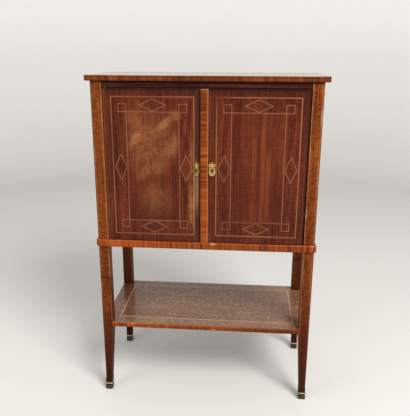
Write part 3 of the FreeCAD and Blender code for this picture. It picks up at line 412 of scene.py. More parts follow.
def post_finish(name, shades, **figure):
    """Mottled mahogany of the posts and legs.

    It is rubbed pale along the edges of each face, partly wear and partly painted highlight,
    and on a leg's inner side these edges draw in as the leg tapers. The legs' inner faces
    are darker, a post's inner side beside the door has a painted highlight, and painted shade
    lies under the top, over the belt and towards the foot."""
    wood = Wood(name, "Z", shades, **figure)
    dark = times(shades[0], 0.14)
    low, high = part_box("corner_post_front_right")
    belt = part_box("belt_moulding")[1].z
    width = wood.get("ShaderNodeMapRange", wood.z, *POST_TAPER)
    arris_rub_and_highlight = 0.0
    sides = []
    for along, across, edge, far in ((wood.x, wood.y, high.x, -low.y), (wood.y, wood.x, -low.y, high.x)):
        reach = abs(along) + width - edge
        sides.append(reach.fall(0.3 * MM, 0.9 * MM))
        outer = abs(abs(along) - (edge - POST_CORNER)).fall(0.3 * MM, 2.5 * MM)
        arris_rub_and_highlight = arris_rub_and_highlight | (reach.fall(1.2 * MM, 4.2 * MM) | outer) * (abs(across) > far - 0.6 * MM)
    below = wood.z < belt - 1 * MM
    wood.tint((sides[0] | sides[1]) * below * 0.4, dark)
    # Painted highlight: the front of a post's inner side, beside the door, is lifted paler against the shade
    # of the gap.
    wood.tint(sides[0].outside(below) * (wood.y < BY_DOOR) * 0.4, 206, 140, 96)
    # Pale arrises: partly wear, partly painted highlight.
    wood.tint(arris_rub_and_highlight * wood.noise((60, 60, 22), 4, 0.6).within(0.36, 0.6, 0.2, 0.7), 196, 134, 92)
    # Painted shade: darker towards the foot.
    wood.tint((wood.clouds * 0.1 + wood.z).fall(0.07, 0.58, 0.92), 54, 18, 7)
    # Painted shade under the top and just over the belt.
    under_top = wood.z.rise(high.z - 7 * MM, high.z - 1.5 * MM, 0.85)
    wood.tint(under_top | wood.z.fall(belt, belt + 5 * MM, 0.5).outside(below), dark)
    left_front = (wood.x < 0.0) * (wood.y < 0.0)
    crack = abs(wood.noise(50) * (6 * MM) + wood.z - CRACK).fall(0.8 * MM, 3.2 * MM, 0.85) * left_front
    wood.tint(crack, dark)
    wood.tint(left_front * wood.z.rise(0.4, 0.7, 0.12), shades[2])
    flakes = wood.noise((190, 190, 120), 3, 0.6).rise(0.46, 0.56)
    for place, half in (((0.350, 0.738), (0.004, 0.026)), ((0.381, 1.07), (0.003, 0.05)),
                        ((0.381, 0.86), (0.003, 0.07)), ((-0.381, 0.92), (0.003, 0.05))):
        wood.tint(wood.patch(place, half) * flakes, 206, 166, 130)
    wood.flecks = wood.flecks | crack
    return wood.polished((0.4, 0.56), 0.03, 0.12, 0.3)


# Where the left door is golden, partly polish gone golden and partly painted reflection: place, half sizes,
# lean in degrees and strength
GOLDEN = (
    ((-0.238, 0.990), (0.028, 0.068), 33, 0.66), ((-0.236, 1.050), (0.048, 0.060), 0, 0.34),
    ((-0.146, 1.036), (0.024, 0.080), 54, 0.70), ((-0.104, 1.070), (0.030, 0.028), 0, 0.36),
    ((-0.206, 0.880), (0.030, 0.060), 42, 0.46), ((-0.165, 0.898), (0.060, 0.055), 0, 0.36),
    ((-0.112, 0.965), (0.032, 0.085), 14, 0.44), ((-0.170, 0.770), (0.075, 0.120), 0, 0.26),
    ((-0.185, 0.975), (0.125, 0.160), 0, 0.36), ((-0.049, 0.760), (0.014, 0.120), 0, 0.62),
    ((-0.048, 0.930), (0.012, 0.120), 0, 0.30),
)


def door_finish(side):
    """Ribbon mahogany of one door's front: dull margin, red band and livelier middle field.

    The fields are told apart by how far a point is from the middle of the inlay's outer
    rectangle, and only on the face; the back of the door is plain."""
    shades = shades_of("door")
    inlay = f"{side}_door_inlay_lines"
    wood = Wood(f"{side}_door_mahogany", "Z", shades, 0.8, 1.5, 0.9, 0.6, 0.6)
    past = wood.past(inlay, panel_sizes().outer_line / 2)
    front = wood.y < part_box(inlay)[0].y + MM
    field = (past < -panel_sizes().band_width) * front
    wood.tint(field * 0.16, times(shades[1], 1.5))
    wood.tint((past > 0.0) * front * 0.15, 52, 28, 24)
    low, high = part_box(f"{side}_door_board")
    edge, top = high.x, high.z
    # Painted shade: the face darkens towards the top, and a near-black painted shadow runs along the top
    # edge.
    wood.tint(wood.z.rise(top - 42 * MM, top, 0.38) * front, 40, 16, 10)
    wood.tint(wood.z.rise(top - 7.5 * MM, top - 1.5 * MM, 0.93), 14, 4, 2)
    if side == "left":
        # Painted light: the left door's rounded hinge edge is lifted paler against the shade of its gap.
        wood.tint(wood.x.fall(low.x + 4 * MM, low.x + 8 * MM, 0.4), 206, 126, 80)
        seam = wood.x.rise(edge - 19 * MM, edge - 11 * MM, 0.55) * front
        wood.tint(seam, 70, 44, 38)
        wood.tint(seam * wood.patch((edge - 9 * MM, 0.815), (0.05, 0.11)) * 1.3, 160, 118, 90)
        # Painted shadow of the meeting strip along the left door's meeting edge.
        wood.tint(wood.x.rise(edge - 8 * MM, edge - 2 * MM, 0.8), 40, 14, 6)
        # The golden patches are partly a paler tone of the polish and partly painted reflection.
        mottle = weighted(
            (1.1, wood.noise((34, 34, 26), 5, 0.72, 0.5)), (1.0, wood.noise((150, 150, 110), 4, 0.7)),
            (0.6, wood.noise((240, 240, 12), 3, 0.65, place=wood.along_grain("Z"))))
        glow = 0.0
        for place, half, lean, strength in GOLDEN:
            glow = glow | wood.patch(place, half, math.radians(lean)) * strength
        wood.tint(glow * mottle.within(0.3, 0.7, 0.4, 1.2) * front, 184, 122, 74)
        wood.tint(wood.z.fall(0.68, 0.82, 0.55) * field, shades[0])
    else:
        # Painted shade along the right door's hinge edge, beside the post.
        wood.tint(wood.x.rise(edge - 14 * MM, edge - 5 * MM, 0.7), 40, 14, 5)
        stripe = 0.0
        for x in STRIPES:
            stripe = stripe | abs(wood.x - x).fall(0.002, 0.012)
        stripe = stripe * wood.noise((30, 30, 5), 3, 0.6).within(0.4, 0.6, 0.1, 0.5)
        wood.tint(stripe * field, 150, 80, 42)
    return wood.polished((0.26, 0.44), 0.05, 0.16, 0.16)


def banding_finish(name, run, grain, piece, bar, chips=(), bands=(), marks=(), cant=None):
    """Cross-grained banding: bars of figure lie across it, in pieces of veneer that differ a little.

    The run along the banding is the height, or the sum of x and y. The bars are noise of
    that run alone, each piece takes its tone from a cell of it, and the joint is where
    two cells meet. Bands are heights between which a tone comes in, marks and chips are
    places on the front, and the cant is how far out the sum of x and y lies on the
    canted corners."""
    shades = shades_of("banding")
    deep, pale = shades[0], shades[2]
    wood = Wood(name, grain, shades, 0.6, 1.7, 0.5, 0.8, 0.5)
    run_at = wood.noise(30) * (bar * 0.9) + (wood.z if run == "Z" else wood.x + wood.y)
    bars = wood.get("ShaderNodeTexNoise", settings={"noise_dimensions": "1D"}, W=run_at, Scale=1 / bar,
                    Detail=2.0, Roughness=0.6)
    line = {"voronoi_dimensions": "1D"}
    cell = wood.get("ShaderNodeTexVoronoi", W=run_at, Scale=1 / piece, settings=line, output="Color")
    key = wood.get("ShaderNodeSeparateColor", cell)
    line["feature"] = "DISTANCE_TO_EDGE"
    edge = wood.get("ShaderNodeTexVoronoi", W=run_at, Scale=1 / piece, settings=line)
    joint = edge.fall(0.0, 0.35 * MM / piece, 0.5)
    for amount, shade in ((bars.rise(0.5, 0.66, 0.78), deep), (bars.fall(0.34, 0.48, 0.75), pale),
                          (key.rise(0.5, 0.95, 0.3), deep), (key.fall(0.05, 0.5, 0.25), pale),
                          (joint, times(deep, 0.25))):
        wood.tint(amount, shade)
    for start, end, first, last, shade in bands:
        wood.tint(wood.z.within(start, end, first, last), shade)
    for place, half, shade, strength in marks:
        wood.tint(wood.patch(place, half) * strength, shade)
    # The canted corners are painted darker, as shade.
    if cant:
        wood.tint((abs(wood.x) + abs(wood.y)).rise(cant - 0.4 * MM, cant - 0.1 * MM, 0.5), 74, 52, 34)
    # On the meeting strip: painted shade along its left side and a painted highlight along its right edge.
    if run == "Z":
        low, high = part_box("meeting_strip")
        wood.tint(wood.x.fall(low.x, low.x + 7 * MM, 0.6), times(deep, 0.3))
        wood.tint(wood.x.rise(high.x - 6 * MM, high.x - 2 * MM, 0.45), 204, 134, 94)
    rubbed = wood.noise(130, 3, 0.6).rise(0.42, 0.52)
    for place, half in chips:
        wood.tint(wood.patch(place, half) * rubbed, 232, 190, 150)
    wood.flecks = wood.flecks + joint
    return wood.polished((0.36, 0.52), 0.06, 0.12, 0.28, depth=0.00015, fibre=0.3)


# Where each door's lines have browned or rubbed pale: place, half sizes, colour and strength
BROWNED, FADED = (112, 62, 40), (92, 44, 28)
WORN_LINES = {
    "left": (
        ((-0.317, 0.99), (0.02, 0.19), BROWNED, 0.6), ((-0.27, 0.84), (0.016, 0.13), BROWNED, 0.6),
        ((-0.2, 1.1315), (0.17, 0.02), BROWNED, 0.5), ((-0.2, 0.6525), (0.2, 0.02), BROWNED, 0.35),
        ((-0.038, 0.79), (0.016, 0.17), (216, 156, 112), 0.7), ((-0.08, 1.08), (0.05, 0.05), BROWNED, 0.4),
    ),
    "right": (
        ((0.045, 1.125), (0.055, 0.05), FADED, 0.85), ((0.317, 0.99), (0.016, 0.15), (204, 138, 106), 0.3),
        ((0.038, 0.99), (0.014, 0.07), (146, 106, 52), 0.6),
        ((0.16, 0.6525), (0.1, 0.016), (190, 128, 90), 0.4), ((0.09, 0.69), (0.06, 0.06), BROWNED, 0.5),
        ((0.17, 0.7), (0.11, 0.014), BROWNED, 0.5),
    ),
}


def inlay_finish(side):
    """Pale line wood: the wide outer lines are browner and the narrow ones paler."""
    finish = Finish(f"{side}_door_lines", colour_of("string_wood"))
    outer = finish.past(f"{side}_door_inlay_lines", panel_sizes().outer_line + 0.3 * MM) > 0.0
    finish.tint(outer, colour_of("line_wood"))
    for place, half, shade, strength in WORN_LINES[side]:
        finish.tint(finish.patch(place, half) * strength, *shade)
    return line_surface(finish)


def line_surface(finish):
    """Fine even wood under polish that has browned in places."""
    streaks = finish.noise(420, 3, 0.6)
    film = finish.noise(22, 3, 0.6)
    finish.tint(streaks.rise(0.35, 0.65, 0.22), 108, 58, 30)
    finish.tint(film.rise(0.42, 0.7, 0.5), 128, 70, 38)
    relief = finish.bump(streaks, 0.00005, 0.5)
    return finish.varnished(film.within(0.3, 0.7, 0.3, 0.46), relief, 0.05, 0.14, 0.2)


def rail_finish():
    """The dark rail over the doors, with painted shade along its top, under the top board, and along its
    bottom, over the doors.
    """
    wood = Wood("dark_rail", "X", shades_of("rail"), 1.0, 1.4, 0.5)
    low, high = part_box("front_top_rail")
    upper = wood.z.rise(high.z - 8 * MM, high.z - 2 * MM, 0.95)
    wood.tint(upper | wood.z.fall(low.z + 0.5 * MM, low.z + 4.5 * MM, 0.95), 10, 2, 1)
    return wood.polished((0.36, 0.5), 0.03, 0.06, 0.3)


def lozenge_finish():
    """The lozenges' veneer: door mahogany laid with its grain leaning, and a little browner."""
    wood = Wood("lozenge_veneer", "Z", shades_of("door"), 1.5, 1.6, 0.3, 0.6, 0.5, math.radians(24))
    wood.tint(0.25, 98, 56, 30)
    return wood.polished((0.3, 0.46), 0.05, 0.14, 0.2)


def shelf_finish():
    """The lower shelf's top: polish rubbed grey along the grain, with long scratches.

    Both sides of the string are rubbed pale, by how far a point is from the string's
    rectangle, the border along the front and back edges is a little paler, and the
    underside is painted dark, as shade, and dull."""
    wood = Wood("worn_shelf_mahogany", "X", shades_of("shelf"), 0.4, 0.9, 1.2, 0.8, 0.5)
    place = wood.along_grain("X", 0.012)
    rubs = wood.noise((60, 60, 10), 5, 0.7, 0.4, place).rise(0.5, 0.66, 0.4)
    wood.tint(rubs, 160, 128, 106)
    wood.tint(wood.noise((210, 210, 9), 3, 0.65, place=place).rise(0.58, 0.68, 0.4), 188, 152, 126)
    crackle = wood.noise((95, 130, 95), 4, 0.65, 1.4)
    wood.tint(crackle.rise(0.52, 0.63, 0.75), 186, 146, 118)
    wood.tint(crackle.fall(0.37, 0.48, 0.7), 84, 52, 40)
    for lean, strength in ((0.16, 0.5), (-0.12, 0.45), (1.3, 0.25)):
        crossed = wood.get("ShaderNodeMapping", wood.place, Rotation=(0.0, 0.0, lean))
        scratches = wood.noise((12, 380, 60), 3, 0.6, 0.8, crossed)
        wood.tint(scratches.rise(0.61, 0.70, strength), 200, 168, 142)
    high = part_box("lower_shelf_string_lines")[1]
    out_x, out_y = abs(wood.x) - (high.x - 1.5 * MM), abs(wood.y) - (high.y - 1.5 * MM)
    wood.tint(abs(out_x | out_y).fall(1.5 * MM, 5 * MM, 0.5), 196, 152, 128)
    wood.tint(out_y.rise(0.0, 2 * MM, 0.22), 172, 136, 104)
    wood.tint(wood.x.fall(-0.36, -0.2, 0.45), 92, 50, 44)
    # Painted shade: the underside is dark.
    under = wood.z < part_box("lower_shelf")[0].z + 1 * MM
    wood.tint(under * 0.9, 70, 30, 16)
    rough = wood.polish(0.1, 0.22) + rubs * 0.2 + under * 0.4
    return wood.varnished(rough, wood.relief(0.0001), 0.17, 0.2, 0.1)


def inner_finish(name, grain):
    """Plain planed wood of the back and the bottom, open-grained and dull with dust in it."""
    wood = Wood(name, grain, shades_of("inner"), 1.4, 1.3, 0.1, 1.0, 0.6)
    wood.tint(wood.noise(11, 4, 0.6).rise(0.5, 0.75, 0.45), 86, 62, 40)
    return wood.done(wood.clouds.within(0.3, 0.7, 0.62, 0.8), wood.relief(0.0003), Specular_IOR_Level=0.3)


def middle_of(node):
    """How far to the side a node's middle is."""
    low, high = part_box(node)
    return (low.x + high.x) / 2


def brass_finish(name, bright, dull, film, rough, plate=None):
    """Cast or rolled brass with a brown film that is thickest in blotches.

    A lock's plate is also painted black, as shade, where the keyhole shows it, but for its back."""
    finish = Finish(name, bright)
    blotch = finish.noise(90, 4, 0.6)
    grit = finish.noise(900)
    finish.tint(blotch.rise(0.42, 0.66, film), dull)
    finish.tint(grit.rise(0.5, 0.8, 0.35), dull)
    if plate:
        # Painted shade on the plate behind the keyhole.
        keyhole_shade = finish.patch((middle_of("right_escutcheon"), KEYHOLE), (16 * MM, 20 * MM))
        finish.tint(keyhole_shade * (finish.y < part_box(plate)[1].y - 0.4 * MM), 16, 10, 4)
    relief = finish.bump(grit * 0.4 + blotch * 0.6, 0.00008, 0.5)
    return finish.done(blotch.within(0.35, 0.68, *rough), relief, Metallic=1.0)


def escutcheon_finish():
    """Gilt brass, rubbed bright where it stands proud and brown in its hollows."""
    dull = colour_of("dark_brass")
    finish = Finish("gilt_brass", colour_of("gilt_brass"))
    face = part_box("right_door_board")[0].y
    blotch = finish.noise(260, 4, 0.6)
    proud = (blotch - 0.5) * (3 * MM) + (face - finish.y)
    hollow = proud.within(1.0 * MM, 2.7 * MM, 0.85, 0.06)
    finish.tint(hollow, dull)
    # Painted shade where the casting comes down to the door, round its foot and in the keyhole.
    finish.tint(proud.fall(0.1 * MM, 1.0 * MM, 0.85), 34, 22, 8)
    # Painted shade on the left escutcheon's sides, beside the meeting strip.
    left = finish.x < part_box("left_escutcheon")[1].x
    shaded_sides = (finish.x.within(-35 * MM, -30 * MM, 0.75, 0.1)
               | finish.x.within(-26.5 * MM, -22.5 * MM, 0.1, 0.75))
    finish.tint(left * shaded_sides, dull)
    # Painted highlight: the right escutcheon's proud parts below the keyhole are paler cream.
    cream_highlight = finish.z.fall(KEYHOLE - 13 * MM, KEYHOLE - 3 * MM, 0.5).outside(left)
    finish.tint(cream_highlight * proud.rise(1.2 * MM, 2.4 * MM), 240, 206, 172)
    # Painted shade inside each keyhole, near black where the metal is sunk.
    sunk = finish.y > face - 2.6 * MM
    for side in ("left", "right"):
        keyhole_dark = finish.patch((middle_of(f"{side}_escutcheon"), KEYHOLE - 1 * MM), (6.5 * MM, 6.5 * MM))
        finish.tint(keyhole_dark * sunk, 12, 8, 4)
    relief = finish.bump(blotch, 0.00012, 0.5)
    return finish.done(hollow.within(0.0, 1.0, 0.24, 0.5), relief, Metallic=1.0)


def sabot_finish():
    """The sabots' brass: olive and dull, rubbed bright on the ring and dark in the groove."""
    finish = Finish("sabot_brass", colour_of("sabot_brass"))
    blotch = finish.noise(120, 4, 0.65)
    finish.tint(blotch.rise(0.4, 0.68, 0.75), 52, 47, 30)
    finish.tint(finish.z.rise(29.5 * MM, 31 * MM, 0.88), 58, 30, 16)
    rubbed = abs(finish.z - 26.6 * MM).fall(1.0 * MM, 2.4 * MM) * blotch.within(0.3, 0.6, 1.0, 0.75)
    finish.tint(rubbed, 246, 224, 202)
    finish.tint(abs(finish.z - 21.3 * MM).fall(1.4 * MM, 3.0 * MM, 0.85), 30, 24, 10)
    rough = blotch.within(0.3, 0.7, 0.34, 0.58) - rubbed * 0.12
    return finish.done(rough, finish.bump(blotch, 0.0001, 0.5), Metallic=1.0)


def floor_finish():
    """Plain pale floor and backdrop with the faintest unevenness.

    It is pale to the camera and in reflections, and throws less light back on the wood."""
    finish = Finish("pale_backdrop", colour_of("backdrop"))
    drift = finish.noise(1.6)
    finish.tint(drift.rise(0.3, 0.7, 0.05), 224, 223, 221)
    seen = 0.0
    for kind in ("Camera", "Glossy", "Transmission"):
        seen = seen | finish.get("ShaderNodeLightPath", output=f"Is {kind} Ray")
    finish.tint(1.0 - seen, 158, 156, 153)
    glow = finish.z.rise(-0.6, 2.2, 0.34) * seen
    return finish.done(
        drift.within(0.3, 0.7, 0.72, 0.8), finish.bump(drift, 0.0005, 0.1), Specular_IOR_Level=0.2,
        Emission_Strength=glow, Emission_Color=paint(250, 249, 247))


def all_finishes():
    """Every finish of the cabinet by its plain name."""
    door, post = shades_of("door"), shades_of("post")
    worn_door = [times(tone, 1.3, 0.003) for tone in door]
    worn_post = [times(tone, 1.35, 0.004) for tone in post]
    dark = paint(44, 16, 5)
    brass = (colour_of("plain_brass"), colour_of("dark_brass"), 0.55, (0.26, 0.46))
    return {
        "left door": door_finish("left"),
        "right door": door_finish("right"),
        "door edge": mahogany("worn_door_edge", "Z", worn_door, (0.38, 0.55), 0.1),
        "post": post_finish("mottled_mahogany", post, ribbon=0.8, streak=1.5, curl=1.6, cloud=0.7, pores=0.7),
        "post edge": post_finish("worn_post_edge", worn_post, curl=0.8, cloud=1.3),
        "side": mahogany("side_mahogany", "Z", door, ribbon=1.7, cloud=1.0),
        "top": mahogany("top_mahogany", "X", shades_of("top"), (0.14, 0.24), 0.72, ribbon=1.3),
        "rail": rail_finish(),
        "long rail": mahogany("long_grain_rail", "X", door, ribbon=1.3),
        "cross rail": mahogany("cross_grain_rail", "Y", door, ribbon=1.3),
        "inside": mahogany("inside_mahogany", "X", door, (0.4, 0.58), 0.05),
        "shelf": shelf_finish(),
        "shelf string": line_surface(Finish("shelf_string", paint(222, 178, 150))),
        "left lines": inlay_finish("left"),
        "right lines": inlay_finish("right"),
        "lozenge": lozenge_finish(),
        "belt": banding_finish(
            "belt_banding", "X+Y", "Z", 46 * MM, 11 * MM,
            chips=(((0.030, 0.6225), (0.014, 0.004)), ((0.376, 0.6245), (0.007, 0.0016))),
            # Painted highlight along the belt's top edge and painted shade along its bottom.
            bands=((0.6215, 0.6245, 0.0, 0.25, paint(214, 136, 100)), (0.6, 0.6035, 0.35, 0.0, dark)),
            # Marks: brighter on the left and darker on the right, with a dark line along the right of the
            # top, are painted light and shade.
            marks=(((-0.15, 0.6266), (0.24, 0.0034), paint(138, 22, 24), 1.0),
                   ((-0.3, 0.612), (0.22, 0.05), paint(206, 98, 38), 0.3),
                   ((0.17, 0.6266), (0.26, 0.0016), paint(96, 34, 20), 0.8),
                   ((0.12, 0.612), (0.3, 0.03), dark, 0.2)),
            cant=BELT_CANT),
        "top edge": banding_finish(
            "top_edge_banding", "X+Y", "Z", 60 * MM, 22 * MM,
            # The dark bands along the top and the bottom of the edge are painted shade.
            bands=((1.0, 1.0001, 0.0, 0.42, paint(60, 40, 16)), (1.193, 1.199, 0.0, 0.45, dark),
                   (1.1825, 1.1865, 0.6, 0.0, dark)),
            marks=(((0.0, 1.191), (0.2, 0.03), dark, 0.42),), cant=TOP_CANT),
        "shelf edge": banding_finish(
            "shelf_edge_banding", "X+Y", "Z", 40 * MM, 10 * MM,
            chips=(((-0.272, 0.291), (0.012, 0.003)), ((0.034, 0.2815), (0.006, 0.004))),
            # Painted shade along the bottom and a painted highlight along the top.
            bands=((0.276, 0.2795, 0.4, 0.0, dark), (0.2885, 0.2925, 0.0, 0.3, paint(210, 146, 96))),
            # The mark is painted shade on the right.
            marks=(((0.3, 0.285), (0.44, 0.05), dark, 0.5),)),
        "meeting strip": banding_finish(
            "meeting_strip_banding", "Z", "X", 64 * MM, 13 * MM,
            # The pale band at the very top is a painted highlight on the strip's end.
            bands=((0.95, 1.13, 0.0, 0.34, dark), (0.66, 0.86, 0.25, 0.0, paint(206, 104, 44)),
                   (1.1535, 1.157, 0.0, 0.6, paint(180, 146, 122)))),
        "upright inner": inner_finish("upright_inner_wood", "Z"),
        "level inner": inner_finish("level_inner_wood", "X"),
        "gilt": escutcheon_finish(),
        "brass": brass_finish("plain_brass", *brass),
        "lock plate": brass_finish("lock_plate_brass", *brass, "lock_back_plate"),
        "sabot": sabot_finish(),
        "steel": brass_finish("plain_steel", colour_of("steel"), paint(70, 52, 40), 0.5, (0.34, 0.5)),
        "floor": floor_finish(),
    }


finishes = {}


def finish_for(key):
    """A finish by its plain name. All are made when the first is asked for."""
    if not finishes:
        finishes.update(all_finishes())
    return finishes[key]


def dress(finish, *nodes):
    """Gives CAD nodes whose shape is right their finish."""
    for name in nodes:
        piece = frame["nodes"][name]
        if not piece.material_slots:
            piece.data.materials.append(None)
        for slot in piece.material_slots:
            slot.material = finish_for(finish)


def smooth_object(name, shape, finish_names, sharp=None, flatten=False, outwards=True):
    """An object in the scene of a shape's points and faces.

    Doubled corners are merged, so seams and poles are closed. Then faces that lie in one
    plane become one, or else those without area go and all faces may be turned outwards.
    Faces are smooth, but for edges past the sharp angle."""
    points, faces = shape
    mesh = bpy.data.meshes.new(name)
    mesh.from_pydata(points.tolist(), [], faces)
    work = bmesh.new()
    work.from_mesh(mesh)
    bmesh.ops.remove_doubles(work, verts=work.verts, dist=MERGE)
    if flatten:
        bmesh.ops.dissolve_limit(work, angle_limit=math.radians(0.4), verts=work.verts, edges=work.edges)
    else:
        bmesh.ops.dissolve_degenerate(work, edges=work.edges, dist=MERGE)
        if outwards:
            bmesh.ops.recalc_face_normals(work, faces=work.faces)
    work.to_mesh(mesh)
    work.free()
    mesh.polygons.foreach_set("use_smooth", np.ones(len(mesh.polygons), bool))
    if sharp:
        mesh.set_sharp_from_angle(angle=math.radians(sharp))
    for finish in finish_names:
        mesh.materials.append(finish_for(finish))
    piece = bpy.data.objects.new(name, mesh)
    bpy.context.scene.collection.objects.link(piece)
    return piece


def stand_for(piece, node):
    """Puts a piece on the body of the CAD node that it replaces."""
    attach(piece, frame["nodes"][node]["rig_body"])
    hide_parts(node)


def new_piece(name, node, shape, finish="brass", sharp=35.0):
    """A closed piece of a shape's points and faces, which stands for a CAD node."""
    stand_for(smooth_object(name, shape, [finish], sharp), node)


def eased(node, finish="brass", slot="brass", worn=None):
    """A copy of a CAD node with its outer edges eased.

    An edge is eased where it is sharp and both its faces lie on the outline that a sheet
    pulled tight round that solid would touch, so recesses keep their crisp edges."""
    points = triangles_of(node)
    faces = np.arange(len(points)).reshape(-1, 3).tolist()
    piece = smooth_object(f"finished_{node}", (points, faces), [finish, worn or finish], 30.0, flatten=True)
    mark_outer_edges(piece.data)
    bevel = piece.modifiers.new("easing", "BEVEL")
    bevel.limit_method = "WEIGHT"
    bevel.width = panel_sizes().metal_ease if slot == "brass" else panel_sizes().board_ease
    bevel.segments = 2
    bevel.material = 1
    bevel.harden_normals = True
    stand_for(piece, node)


def read(items, key, width=1, kind=float):
    """A mesh's numbers as an array, with a row for each item where it has several."""
    values = np.empty(len(items) * width, kind)
    items.foreach_get(key, values)
    return values.reshape(-1, width) if width > 1 else values


def triangles_of(node):
    """A CAD node's triangles, as points with three rows to each."""
    mesh = frame["nodes"][node].data
    mesh.calc_loop_triangles()
    return read(mesh.vertices, "co", 3)[read(mesh.loop_triangles, "vertices", 3, int).ravel()]


def islands(count, links):
    """A number for each point that is the same for all points joined by the links."""
    label = np.arange(count)
    while True:
        lowest = label.copy()
        reach = label[links].min(axis=1)
        for column in range(links.shape[1]):
            np.minimum.at(lowest, links[:, column], reach)
        if np.array_equal(lowest, label):
            return label
        label = lowest


def span(points):
    """The lowest and highest corner of some points."""
    return points.min(axis=0), points.max(axis=0)


def solids_of(node):
    """The corner points of each separate solid of a CAD node."""
    points, corners = np.unique(np.round(triangles_of(node), 6), axis=0, return_inverse=True)
    label = islands(len(points), corners.reshape(-1, 3))
    return [points[label == one] for one in np.unique(label)]


def mark_outer_edges(mesh):
    """Full bevel weight on each sharp edge between two faces of a solid's tight outline."""
    points = read(mesh.vertices, "co", 3)
    label = islands(len(points), read(mesh.edges, "vertices", 2, int))
    normals = read(mesh.polygons, "normal", 3)
    own = (read(mesh.polygons, "center", 3) * normals).sum(axis=1)
    first = read(mesh.polygons, "loop_start", 1, int)
    solid = label[read(mesh.loops, "vertex_index", 1, int)[first]]
    reach = np.where(label[None] == solid[:, None], normals @ points.T, -np.inf).max(axis=1)
    outer = reach - own < 0.02 * MM
    totals = read(mesh.polygons, "loop_total", 1, int)
    owner = np.repeat(np.arange(len(totals)), totals)
    edge_of = read(mesh.loops, "edge_index", 1, int)
    order = np.argsort(edge_of, kind="stable")
    uses = np.bincount(edge_of, minlength=len(mesh.edges))
    start = np.cumsum(uses) - uses
    paired = uses == 2
    one, two = (owner[order[start[paired] + step]] for step in (0, 1))
    bend = (normals[one] * normals[two]).sum(axis=1)
    weight = np.zeros(len(mesh.edges), np.float32)
    weight[paired] = outer[one] & outer[two] & (bend < math.cos(math.radians(25)))
    mesh.attributes.new("bevel_weight_edge", "FLOAT", "EDGE").data.foreach_set("value", weight)


def grid_faces(rows, columns, across=False, along=False):
    """Four-sided faces over a grid of points, joined at the ends of its rows or columns if asked."""
    row, column = np.meshgrid(
        np.arange(rows if along else rows - 1),
        np.arange(columns if across else columns - 1), indexing="ij")
    row, column = row.ravel() * columns, column.ravel()
    below, right = (row + columns) % (rows * columns), (column + 1) % columns
    return np.stack([row + column, row + right, below + right, below + column], axis=1).tolist()


def loft(rings, first=True, last=True, along=False):
    """Points and faces of rings, one above another, with the ends closed or joined to each other."""
    rings = np.asarray(rings, float)
    rows, columns = rings.shape[:2]
    faces = grid_faces(rows, columns, across=True, along=along)
    if first:
        faces.append(list(range(columns))[::-1])
    if last:
        faces.append(list(range((rows - 1) * columns, rows * columns)))
    return rings.reshape(-1, 3), faces


def joined(*parts):
    """Several shapes' points and faces as one."""
    points, faces, count = [], [], 0
    for more_points, more_faces in parts:
        points.append(more_points)
        faces += [[corner + count for corner in face] for face in more_faces]
        count += len(more_points)
    return np.concatenate(points), faces


def raised(outline, level):
    """Flat points at a level."""
    return np.column_stack([outline, np.full(len(outline), level)])


def levelled(flat, levels):
    """Rings of flat points, each ring raised to its own level."""
    return np.stack([raised(ring, level) for ring, level in zip(flat, levels)])


def circle(angle):
    """Points on a circle of radius one."""
    return np.stack([np.cos(angle), np.sin(angle)], axis=1)


def quarter_turn(steps):
    """Shares of a quarter circle, from zero to one: how far in, and how far up."""
    angle = np.linspace(0, math.pi / 2, steps)
    return 1 - np.sin(angle), 1 - np.cos(angle)


def mitred(path, profile):
    """A moulding: a profile of (out, height) points carried along a path of (x, y) points.

    Each path point moves out along the line that halves its corner, by the profile's
    distance out over the cosine of half the turn, so the mouldings meet in mitres."""
    path, profile = np.asarray(path, float), np.asarray(profile, float)
    step = np.diff(path, axis=0)
    step /= np.linalg.norm(step, axis=1, keepdims=True)
    outward = np.stack([step[:, 1], -step[:, 0]], axis=1)
    before, after = np.concatenate([outward[:1], outward]), np.concatenate([outward, outward[-1:]])
    lean = (before + after) / (1 + (before * after).sum(axis=1))[:, None]
    flat = path[None] + profile[:, 0, None, None] * lean[None]
    return loft(levelled(flat, profile[:, 1]).transpose(1, 0, 2))


def wrapped(x, front, back, cant, profile):
    """A moulding from the back, round both canted front corners and to the back again."""
    return mitred([(-x, back), (-x, front + cant), (cant - x, front), (x - cant, front),
                   (x, front + cant), (x, back)], profile)


def edging_profile(inner, outer, node, rounding, steps=6):
    """A closed profile as high as a node, flat behind, its two outer corners quarter circles."""
    low, high = (corner.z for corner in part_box(node))
    far, up = quarter_turn(steps)
    bottom = np.stack([outer - rounding * far, low + rounding * up], axis=1)
    top = bottom[::-1] * (1, -1) + (0, low + high)
    return np.concatenate([[(inner, low)], bottom, top, [(inner, high)]])


def turned(profile, sides=24, closed=True):
    """A turned shape: (radius, height) points carried once round the Z axis, the first ring closed."""
    profile = np.asarray(profile, float)
    flat = profile[:, 0, None, None] * circle(np.linspace(0, 2 * math.pi, sides, endpoint=False))[None]
    points, faces = loft(levelled(flat, profile[:, 1]), first=False, last=False)
    return points, faces + [list(range(sides))] * closed


def facing(shape, place, direction, spin=0.0):
    """A shape made along Z, turned by spin about it, then to a direction, and moved to a place."""
    points, faces = shape
    turning = Vector((0, 0, 1)).rotation_difference(Vector(direction)).to_matrix()
    turning = turning @ Matrix.Rotation(spin, 3, "Z")
    return np.asarray(points) @ np.array(turning).T + np.asarray(place), faces


def end_width(points, along, level):
    """How wide a solid's end is, where the end lies at a level along its axis."""
    return np.ptp(points[np.abs(along - level) < 0.01 * MM], axis=0).max()


